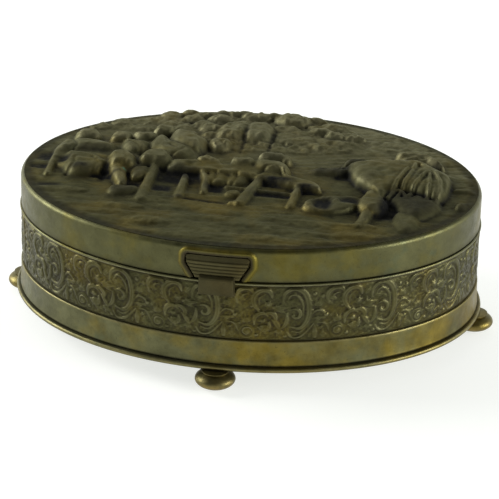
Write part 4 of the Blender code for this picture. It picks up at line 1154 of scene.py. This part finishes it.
def make_catch(materials):
    """Push catch: ribbed bar, tab over the seam, barrel and web behind, all on the rocker."""
    high = ROCKER_HIGH.z
    bar_low = 28.9
    lip = high + 1.2  # a thin lip slopes back above the ribs
    ribs, rib_dip = 5, 0.15
    pitch = (high - bar_low - 0.1) / ribs

    def eased(half, past, radius):
        """Half width drawn in round a corner, where the level is past its start by so much."""
        return half - radius * (1 - math.sqrt(1 - min(1.0, max(0.0, past) / radius) ** 2))

    def bar_half(z):
        half = np.interp(z, [bar_low, 29.3, 32.6, high], [5.66, 5.80, 7.86, 7.90])
        return eased(half, z - (lip - 0.7), 0.7)

    def groove_at(z):
        return 1 - abs(math.sin(math.pi * (z - bar_low) / pitch)) ** 0.55 if z < high else 0.9

    def bar_front(x, z):
        slope = np.interp(z, [high - 0.15, high + 0.1, lip], [0.0, 0.12, 0.45])
        return np.full_like(x, 0.62 - rib_dip * groove_at(z) - slope)

    def bar_back(z):
        return np.interp(z, [high - 0.1, high + 0.2], [-0.3, -0.12])

    levels = [[bar_low], np.linspace(bar_low + 0.02, high, 88), np.linspace(high + 0.03, lip, 12)]
    levels = np.concatenate(levels)
    bar = loft_on_front("bar", levels, bar_half, bar_front, bar_back)
    columns = 2 * FRONT_STEPS - 2
    groove = np.array([groove_at(z) for z in levels])
    add_layer(bar, "hollow", np.repeat(np.clip(groove * 0.3, 0, 1), columns))
    add_layer(bar, "wear", np.repeat(np.clip(0.3 - 0.9 * groove, 0, 1), columns))

    low = ROCKER_LOW.z

    def tab_half(z):
        return eased(np.interp(z, [low, 25.2, 25.9, 29.4], [4.75, 4.75, 4.5, 4.4]), low + 0.35 - z, 0.35)

    def tab_front(x, z):
        stations = [low, low + 0.12, low + 0.35, 28.9, 29.4, 29.8]
        ends = np.interp(z, stations, [1.15, 1.5, 1.62, 1.65, 1.5, 0.8])
        dish = 0.10 * (1 - (x / 4.6) ** 2)
        return ends - dish

    def tab_back(z):
        return np.interp(z, [28.6, 29.0], [0.65, 0.1])

    low += 0.5  # it ends short of the CAD tab
    levels = [np.linspace(low, low + 0.4, 8), np.linspace(25.5, 28.6, 14), np.linspace(28.7, 29.8, 10)]
    levels = np.concatenate(levels)
    tab = loft_on_front("tab", levels, tab_half, tab_front, tab_back)
    side = np.abs(np.linspace(-1, 1, FRONT_STEPS))
    section = np.concatenate([np.clip((side - 0.82) / 0.15, 0, 1), np.zeros(FRONT_STEPS - 2)])
    add_layer(tab, "wear", np.tile(section, (len(levels), 1)) * 0.4)
    add_layer(tab, "hollow", np.full(columns * len(levels), 0.22))

    pivot = Vector(frame["joints"][1]["pos_m"]) / MM
    parts = [bar, tab, rod_mesh("barrel", 1.0, -7.3, 7.3, pivot.y, pivot.z)]
    parts.append(block_mesh("web", (-3.9, -45.9, 29.2), (3.9, pivot.y - 0.6, 30.6)))
    mesh = join_meshes("push_catch_mesh", parts)
    add_piece("push_catch", mesh, "catch", materials["catch"], ["catch_rocker"], 38)


def make_bezel(materials):
    """Soft swelling round the window's top and sides, steep inside and running out into the rim."""
    outline = np.array(window_outline(0.38, RIM_LOW.z + 0.12)[1:-1])
    outline[[0, -1], 1] = RIM_LOW.z + 0.15
    fine, normal = with_normals(outline, 150)
    section = [(-0.53 + 0.9 * (1 - math.cos(a)), 0.5 * math.sin(a)) for a in np.linspace(0.1, 1.45, 9)]
    section += [(0.4 + 0.95 * t, 0.25 + 0.25 * math.cos(math.pi * t)) for t in np.linspace(0.04, 1.0, 12)]
    across, depth = np.array(section + [(1.35, -0.1), (-0.53, -0.1)]).T
    flat = fine[:, None, :] + normal[:, None, :] * across[None, :, None]
    flat[..., 1] = np.maximum(flat[..., 1], RIM_LOW.z + 0.1)
    rows = len(flat)
    above = np.clip(flat[..., 1] - (RIM_HIGH.z - SHOULDER), 0, SHOULDER)
    fall = SHOULDER - np.sqrt(SHOULDER ** 2 - above ** 2)  # the rim's rounded shoulder leans back here
    points = bend_to_front(np.stack([flat[..., 0], depth - fall, flat[..., 1]], -1))
    layers = {
        "wear": np.tile(0.85 * np.exp(-((across - 0.75) / 0.32) ** 2), (rows, 1)),
        # painted shade: darker on the inner side, the shade of the recess round the window
        "hollow": np.tile(np.clip((0.35 - across) / 0.6, 0, 0.8), (rows, 1)),
    }
    mesh = grid_mesh("bezel_mesh", points, False, True, (0, rows - 1), layers)
    add_piece("catch_border", mesh, "lid", materials["bezel"], ["catch_bezel"], 60)


# --- Inside ---------------------------------------------------------------------
def oval_board(name, node, body, material):
    """A stiff oval board with eased edges, where its CAD node lies."""
    low, high = box_mm(node)
    edge = high.x - HALF_X
    ease = 0.12
    profile = [(edge - 4 * ease, low.z), (edge - ease, low.z), (edge, low.z + ease), (edge, high.z - ease)]
    profile += [(edge - ease, high.z), (edge - 4 * ease, high.z)]
    mesh = sweep(name + "_mesh", profile, closed=False)
    add_piece(name, mesh, body, material, [node])


def make_sleeve(materials):
    """Thin liner that stands up past the seam, notched where the catch works."""
    low, high = SLEEVE_LOW.z, SLEEVE_HIGH.z
    outer = SLEEVE_HIGH.x - HALF_X
    inner = outer - 0.5
    profile = [(inner, low, 0.5), (outer, low, 0.5), (outer, 28.6, 0.6), (outer, high - 0.9, 0.1)]
    profile += arc((outer + inner) / 2, high - 0.3, 0.25, 0.3, 0, 180, 6)
    profile += [(inner, high - 0.9, 0.0), (inner, 27.8, 0.3)]
    mesh = sweep("sleeve_mesh", profile)
    notch = prism_mesh("notch_tool", [(-9.6, 28.2), (9.6, 28.2), (9.6, 34.0), (-9.6, 34.0)], -50.0, -38.0)
    mesh = boolean_cut(mesh, notch)
    add_piece("locating_sleeve", mesh, "case", materials["rim"], ["inner_sleeve"])


def make_linings(materials):
    """Card floor and lid board, and the velvet glued round the inner wall."""
    oval_board("floor_board", "floor_card", "case", materials["card"])
    oval_board("lid_board", "lid_card", "lid", materials["card"])
    low, high = box_mm("wall_lining")
    outer = high.x - HALF_X
    inner = outer - 0.9
    profile = [(inner, low.z), (outer, low.z), (outer, high.z - 0.5)]
    profile += arc((outer + inner) / 2, high.z - 0.5, 0.45, 0.5, 0, 180, 8)
    profile += [(inner, low.z + (high.z - 1.0 - low.z) * share, 0.0) for share in (0.8, 0.6, 0.4, 0.2)]
    mesh = sweep("wall_velvet_mesh", profile, waver=0.10, seed=21)
    add_piece("wall_velvet", mesh, "case", materials["velvet"], ["wall_lining"])


def pad_shape(name, half_x, half_y, seat, top):
    """Closed flattish oval form between a flat seat and a low crowned top, before it is stuffed."""
    profile = path(0, 0, 0.93, 0, 0.975, 0.22, 0.985, 0.5, 0.95, 0.78, 0.85, 0.94, 0.5, 1, 0, 1)
    profile = [(out, seat + (top - seat) * up) for out, up in profile]
    return turned(name, profile, 160, (0.0, 0.0), half_x, half_y, 0.002)


def voxel_remesh(mesh, size):
    """The same form in even quads, with the steps they leave at its edge smoothed away."""
    form = link("remesh_form", mesh)
    modifier = form.modifiers.new("Even", "REMESH")
    modifier.mode = "VOXEL"
    modifier.voxel_size = size
    smooth = form.modifiers.new("Smooth", "SMOOTH")
    smooth.factor = 0.5
    smooth.iterations = 6
    result = evaluated(form)
    bpy.data.objects.remove(form)
    return result


def stuff_with_cloth(mesh, held, pressure, most):
    """Swell a closed mesh by cloth simulation with some points held, each moving at most so far.
    It runs at twenty times life size, where the solver's usual weights and stiffness suit it."""
    enlarge = 20.0
    start = np.array([v.co for v in mesh.vertices])
    mesh.transform(Matrix.Scale(enlarge, 4))
    form = link("stuffed_form", mesh)
    group = form.vertex_groups.new(name="held")
    group.add([int(i) for i in np.flatnonzero(held)], 1.0, "REPLACE")
    cloth = form.modifiers.new("Stuffing", "CLOTH")
    cloth.settings.use_pressure = True
    cloth.settings.uniform_pressure_force = pressure
    cloth.settings.vertex_group_mass = "held"
    cloth.settings.effector_weights.gravity = 0.0
    cloth.settings.quality = 4
    scene = bpy.context.scene
    for step in range(1, 21):
        scene.frame_set(step)
    graph = bpy.context.evaluated_depsgraph_get()
    swollen = form.evaluated_get(graph).to_mesh()
    end = np.array([v.co for v in swollen.vertices]) / enlarge
    bpy.data.objects.remove(form)
    scene.frame_set(1)
    move = end - start
    length = np.linalg.norm(move, axis=1, keepdims=True)
    move *= np.minimum(1.0, most * MM / np.maximum(length, 1e-9))
    mesh.vertices.foreach_set("co", (start + move).astype(np.float32).reshape(-1))


def tuft_places(half_x, half_y, spacing):
    """A diamond pattern of stitch points that keeps off the pad's edge."""
    places = []
    rows = int(half_y // (0.5 * spacing))
    for row in range(-rows, rows + 1):
        for column in range(-int(half_x // spacing) - 1, int(half_x // spacing) + 2):
            x = (column + 0.5 * (row % 2)) * spacing
            y = row * 0.55 * spacing
            if math.hypot(x / (half_x - 9.0), y / (half_y - 9.0)) < 1.0:
                places.append((x, y))
    return places


def make_tufted_pad(name, node, body, seat, top, spacing, materials):
    """Velvet cushion, stitched down at points and swollen between them by cloth simulation."""
    half_x, half_y = box_mm(node)[1][:2]
    fit = 0.99
    mesh = voxel_remesh(pad_shape(name + "_mesh", half_x * fit, half_y * fit, seat, top), 1.0 * MM)
    points = np.array([v.co for v in mesh.vertices]) / MM
    facing = np.sign(top - seat)
    depth = facing * (points[:, 2] - seat)
    rise = abs(top - seat)
    dimple = np.zeros(len(points))
    crease = np.zeros(len(points))
    stitches = tuft_places(half_x, half_y, spacing)
    for i, (x, y) in enumerate(stitches):
        away = np.hypot(points[:, 0] - x, points[:, 1] - y)
        dimple = np.maximum(dimple, np.exp(-(away / 2.6) ** 2))
        for other_x, other_y in stitches[i + 1:]:
            along = np.array([other_x - x, other_y - y])
            span = np.hypot(*along)
            if span > 0.8 * spacing:
                continue
            offset = points[:, :2] - (x, y)
            share = np.clip(offset @ along / span ** 2, 0, 1)
            gap = np.hypot(*(offset - share[:, None] * along).T)
            crease = np.maximum(crease, np.exp(-(gap / 1.1) ** 2))
    upper = depth > 0.55 * rise
    points[:, 2] -= facing * np.where(upper, np.maximum(dimple * 0.6, crease * 0.25) * rise, 0.0)
    mesh.vertices.foreach_set("co", (points * MM).astype(np.float32).reshape(-1))
    held = (depth < 0.12 * rise) | (upper & (dimple > 0.80))
    stuff_with_cloth(mesh, held, 5.0, 1.6)
    # painted shade in the dimples and along the creases between stitches
    add_layer(mesh, "hollow", np.where(upper, np.maximum(dimple, 0.5 * crease), 0.0))
    pad = add_piece(name, mesh, body, materials["velvet"], [node], 180)
    smooth = pad.modifiers.new("Fine", "SUBSURF")
    smooth.levels = 1
    smooth.render_levels = 1
    return pad


def make_pads(materials):
    """Both cushions, with room left for what the cloth adds to their height."""
    spacing = 15.0
    low, high = box_mm("needle_cushion")
    make_tufted_pad("needle_pad", "needle_cushion", "case", low.z, high.z - 1.3, spacing, materials)
    low, high = box_mm("lid_cushion")
    make_tufted_pad("lid_pad", "lid_cushion", "lid", high.z, low.z + 0.7, spacing, materials)


# --- Hinge ----------------------------------------------------------------------
def eased_block(name, low, high, ease):
    """A block with its edges rounded over."""
    mesh = block_mesh(name, low, high)
    bm = bmesh.new()
    bm.from_mesh(mesh)
    bmesh.ops.bevel(bm, geom=list(bm.edges), offset=ease * MM, segments=3, profile=0.5, affect="EDGES")
    bm.to_mesh(mesh)
    bm.free()
    return mesh


def make_hinge_leaf(node, own_first, pivot, body, materials):
    """Leaf soldered to the wall, with room for the other leaf's knuckles, and its own knuckles."""
    low, high = box_mm(node)
    knuckle = 1.5  # radius
    flat_back = 47.3
    edges = [-13.0, -8.05, -2.55, 2.55, 8.05, 13.0]  # of the five knuckles
    leaf_low, leaf_high = (23.5, 28.2) if low.z < 25.0 else (28.8, 33.5)
    leaf = eased_block(node + "_leaf", (low.x, 43.0, leaf_low), (high.x, flat_back, leaf_high), 0.22)
    wall = [(0.42, leaf_low - 2), (0.42, leaf_high + 2), (-9, leaf_high + 2), (-9, leaf_low - 2)]
    leaf = boolean_cut(leaf, sweep("wall_tool", wall))
    parts = []
    for index, (start, end) in enumerate(zip(edges, edges[1:])):
        near = start if index == 0 else start + 0.15
        far = end if index == 4 else end - 0.15
        if index % 2 == own_first:
            parts.append(rod_mesh("knuckle", knuckle, near, far, pivot.y, pivot.z))
        else:
            room = rod_mesh("room_tool", knuckle + 0.3, near - 0.34, far + 0.34, pivot.y, pivot.z)
            leaf = boolean_cut(leaf, room)
    mesh = join_meshes(node + "_mesh", [leaf] + parts)
    add_piece("soldered_" + node, mesh, body, materials["catch"], [node], 38)


def make_hinge(materials):
    """Two leaves whose knuckles take turns on one pin."""
    pivot = Vector(frame["joints"][0]["pos_m"]) / MM
    make_hinge_leaf("hinge_leaf_body", 0, pivot, "case", materials)
    make_hinge_leaf("hinge_leaf_lid", 1, pivot, "lid", materials)
    low, high = box_mm("hinge_pin")
    mesh = rod_mesh("hinge_rod_mesh", (high.z - low.z) / 2, low.x, high.x, pivot.y, pivot.z)
    add_piece("hinge_rod", mesh, "case", materials["steel"], ["hinge_pin"])


def make_catch_mounting(materials):
    """Lugs, pin and leaf spring behind the rocker."""
    pivot = Vector(frame["joints"][1]["pos_m"]) / MM
    for side in ("left", "right"):
        node = "catch_lug_" + side
        low, high = box_mm(node)
        mesh = eased_block(node + "_mesh", low, high, 0.18)
        add_piece("pivot_lug_" + side, mesh, "lid", materials["catch"], [node])
    low, high = box_mm("catch_pin")
    mesh = rod_mesh("catch_rod_mesh", (high.z - low.z) / 2, low.x, high.x, pivot.y, pivot.z)
    add_piece("catch_rod", mesh, "lid", materials["steel"], ["catch_pin"])
    half_wide, half_thick = box_mm("catch_spring")[1].x, 0.1
    route = path(-43.6, 35.5, -44.75, 35.5, -44.98, 35.2, -44.6, 34, -45.25, 32.6, -45.1, 31.95)
    fine, normal = with_normals(smooth_line(np.array(route)), 40)
    corners = [(-half_wide, -half_thick), (half_wide, -half_thick), (half_wide, half_thick)]
    corners.append((-half_wide, half_thick))
    rows = []
    for (y, z), (ny, nz) in zip(fine, -normal):
        rows.append([(x, y + ny * t, z + nz * t) for x, t in corners])
    mesh = grid_mesh("leaf_spring_mesh", np.array(rows), False, True, (0, len(rows) - 1))
    spring = dressed("leaf_spring", mesh, materials["steel"], 40)
    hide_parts("catch_spring")
    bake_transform(spring)


def smooth_line(points, rounds=2):
    """Round a polyline's corners by cutting them, keeping both ends."""
    for _ in range(rounds):
        before = points[:-1] * 0.75 + points[1:] * 0.25
        after = points[:-1] * 0.25 + points[1:] * 0.75
        middle = np.stack([before, after], 1).reshape(-1, 2)
        points = np.vstack([points[:1], middle[1:-1], points[-1:]])
    return points


def resample(outline, count):
    """Evenly spaced points along a polyline."""
    lengths = np.concatenate([[0], np.cumsum(np.linalg.norm(np.diff(outline, axis=0), axis=1))])
    at = np.linspace(0, lengths[-1], count)
    return np.stack([np.interp(at, lengths, outline[:, k]) for k in range(2)], -1)


def with_normals(outline, count):
    """Evenly spaced points along a polyline and the unit normals on its right."""
    fine = resample(outline, count)
    tangent = np.gradient(fine, axis=0)
    tangent /= np.linalg.norm(tangent, axis=1, keepdims=True)
    return fine, np.stack([tangent[:, 1], -tangent[:, 0]], -1)


def rod_mesh(name, radius, x_start, x_end, y, z):
    """A cylinder along X with eased ends."""
    ease = min(0.12, radius * 0.3)
    turn = np.linspace(0, 2 * math.pi, 40, endpoint=False)
    near = [(x_start, radius - ease), (x_start + ease, radius)]
    far = [(x_end - ease, radius), (x_end, radius - ease)]
    rows = []
    for x, out in near + far:
        rows.append(np.stack([np.full(len(turn), x), y + out * np.cos(turn), z + out * np.sin(turn)], -1))
    return grid_mesh(name, np.array(rows), False, True, (0, 3))


def block_mesh(name, low, high):
    """A box between two corners."""
    outline = path(low[0], low[2], high[0], low[2], high[0], high[2], low[0], high[2])
    return prism_mesh(name, outline, low[1], high[1])


def join_meshes(name, meshes):
    """Put several meshes in one, with their layers."""
    joined = bmesh.new()
    for mesh in meshes:
        for layer in ("wear", "hollow"):
            if layer not in mesh.attributes:
                add_layer(mesh, layer, np.zeros(len(mesh.vertices)))
        joined.from_mesh(mesh)
    result = bpy.data.meshes.new(name)
    joined.to_mesh(result)
    joined.free()
    return result


# --- Stage ----------------------------------------------------------------------
def make_camera():
    """Long lens from slightly right of the front, a little above."""
    azimuth, elevation, roll = math.radians(9.23), math.radians(23.66), math.radians(1.4)
    level = math.cos(elevation)
    back = Vector((math.sin(azimuth) * level, -math.cos(azimuth) * level, math.sin(elevation)))
    eye = Vector((0.0, 0.0, 20.7)) + back * 601.8
    aim = Vector((0.23, 0.0, 16.5))
    turn = (aim - eye).to_track_quat("-Z", "Y").to_matrix().to_4x4() @ Matrix.Rotation(roll, 4, "Z")
    data = bpy.data.cameras.new("camera")
    data.sensor_width = 36.0
    data.lens = 168.45
    data.clip_start = 0.01
    camera = link("camera", data)
    camera.matrix_world = Matrix.Translation(eye * MM) @ turn
    bpy.context.scene.camera = camera


def add_panel(name, place, size, power):
    """A white rectangular light that faces the case from a place given in metres."""
    light = bpy.data.lights.new(name, "AREA")
    light.shape = "RECTANGLE"
    light.size, light.size_y = size
    light.energy = power
    panel = link(name, light)
    direction = Vector((0.0, 0.0, 0.02)) - Vector(place)
    panel.matrix_world = Matrix.Translation(place) @ direction.to_track_quat("-Z", "Y").to_matrix().to_4x4()


def make_stage():
    """Pale floor, white surroundings and soft panels above and behind and at both sides."""
    reach = 6.0  # of the floor, in metres
    corners = [(-reach, -reach, 0), (reach, -reach, 0), (reach, reach, 0), (-reach, reach, 0)]
    floor_mesh = bpy.data.meshes.new("floor_mesh")
    floor_mesh.from_pydata(corners, [], [(0, 1, 2, 3)])
    floor = link("floor", floor_mesh)
    s = Shader(bpy.data.materials.new("floor_paper"))
    tone = s.remap(s.noise(6.0, 2.0), 0.3, 0.7)
    paper = s.mix(tone, (0.44, 0.44, 0.43), (0.47, 0.47, 0.46))
    glow = {"emission_color": (0.98, 1.0, 0.97), "emission_strength": 0.70}
    floor_mesh.materials.append(s.finish(base_color=paper, roughness=0.9, **glow))
    make_surroundings()
    add_panel("top_back", (-0.2, 0.55, 0.70), (1.2, 0.5), 2.0)
    add_panel("left", (-0.85, 0.1, 0.40), (0.5, 0.5), 7.4)
    add_panel("right", (0.85, -0.15, 0.20), (0.5, 0.35), 5.2)
    bpy.context.scene.view_settings.view_transform = "Standard"


def make_surroundings():
    """A room that is bright round the horizon and at the sides, dimmer overhead and in front."""
    world = Shader(bpy.data.worlds.new("studio"), "Background")
    direction = world.add("ShaderNodeTexCoord").outputs["Generated"]
    split = world.add("ShaderNodeSeparateXYZ", {"Vector": direction}).outputs
    height = world.remap(split["Z"], 0.2, 0.62, 0.98, 0.18)
    sides = world.remap(world.math("ABSOLUTE", split["X"]), 0.55, 0.95, 0.0, 0.7)
    depth = world.remap(split["Y"], -0.35, 0.25, 0.55, 1.05)
    strength = world.math("MULTIPLY", world.math("ADD", height, sides), depth)
    bpy.context.scene.world = world.finish(color=(0.96, 1.0, 0.95), strength=strength)


make_camera()
make_stage()
MATERIALS = make_materials()
for make in (
    make_lid_plaque, make_embossed_band, make_rim, make_bead, make_plinth, make_base, make_feet, make_catch,
    make_bezel, make_catch_mounting, make_sleeve, make_linings, make_pads, make_hinge,
):
    make(MATERIALS)
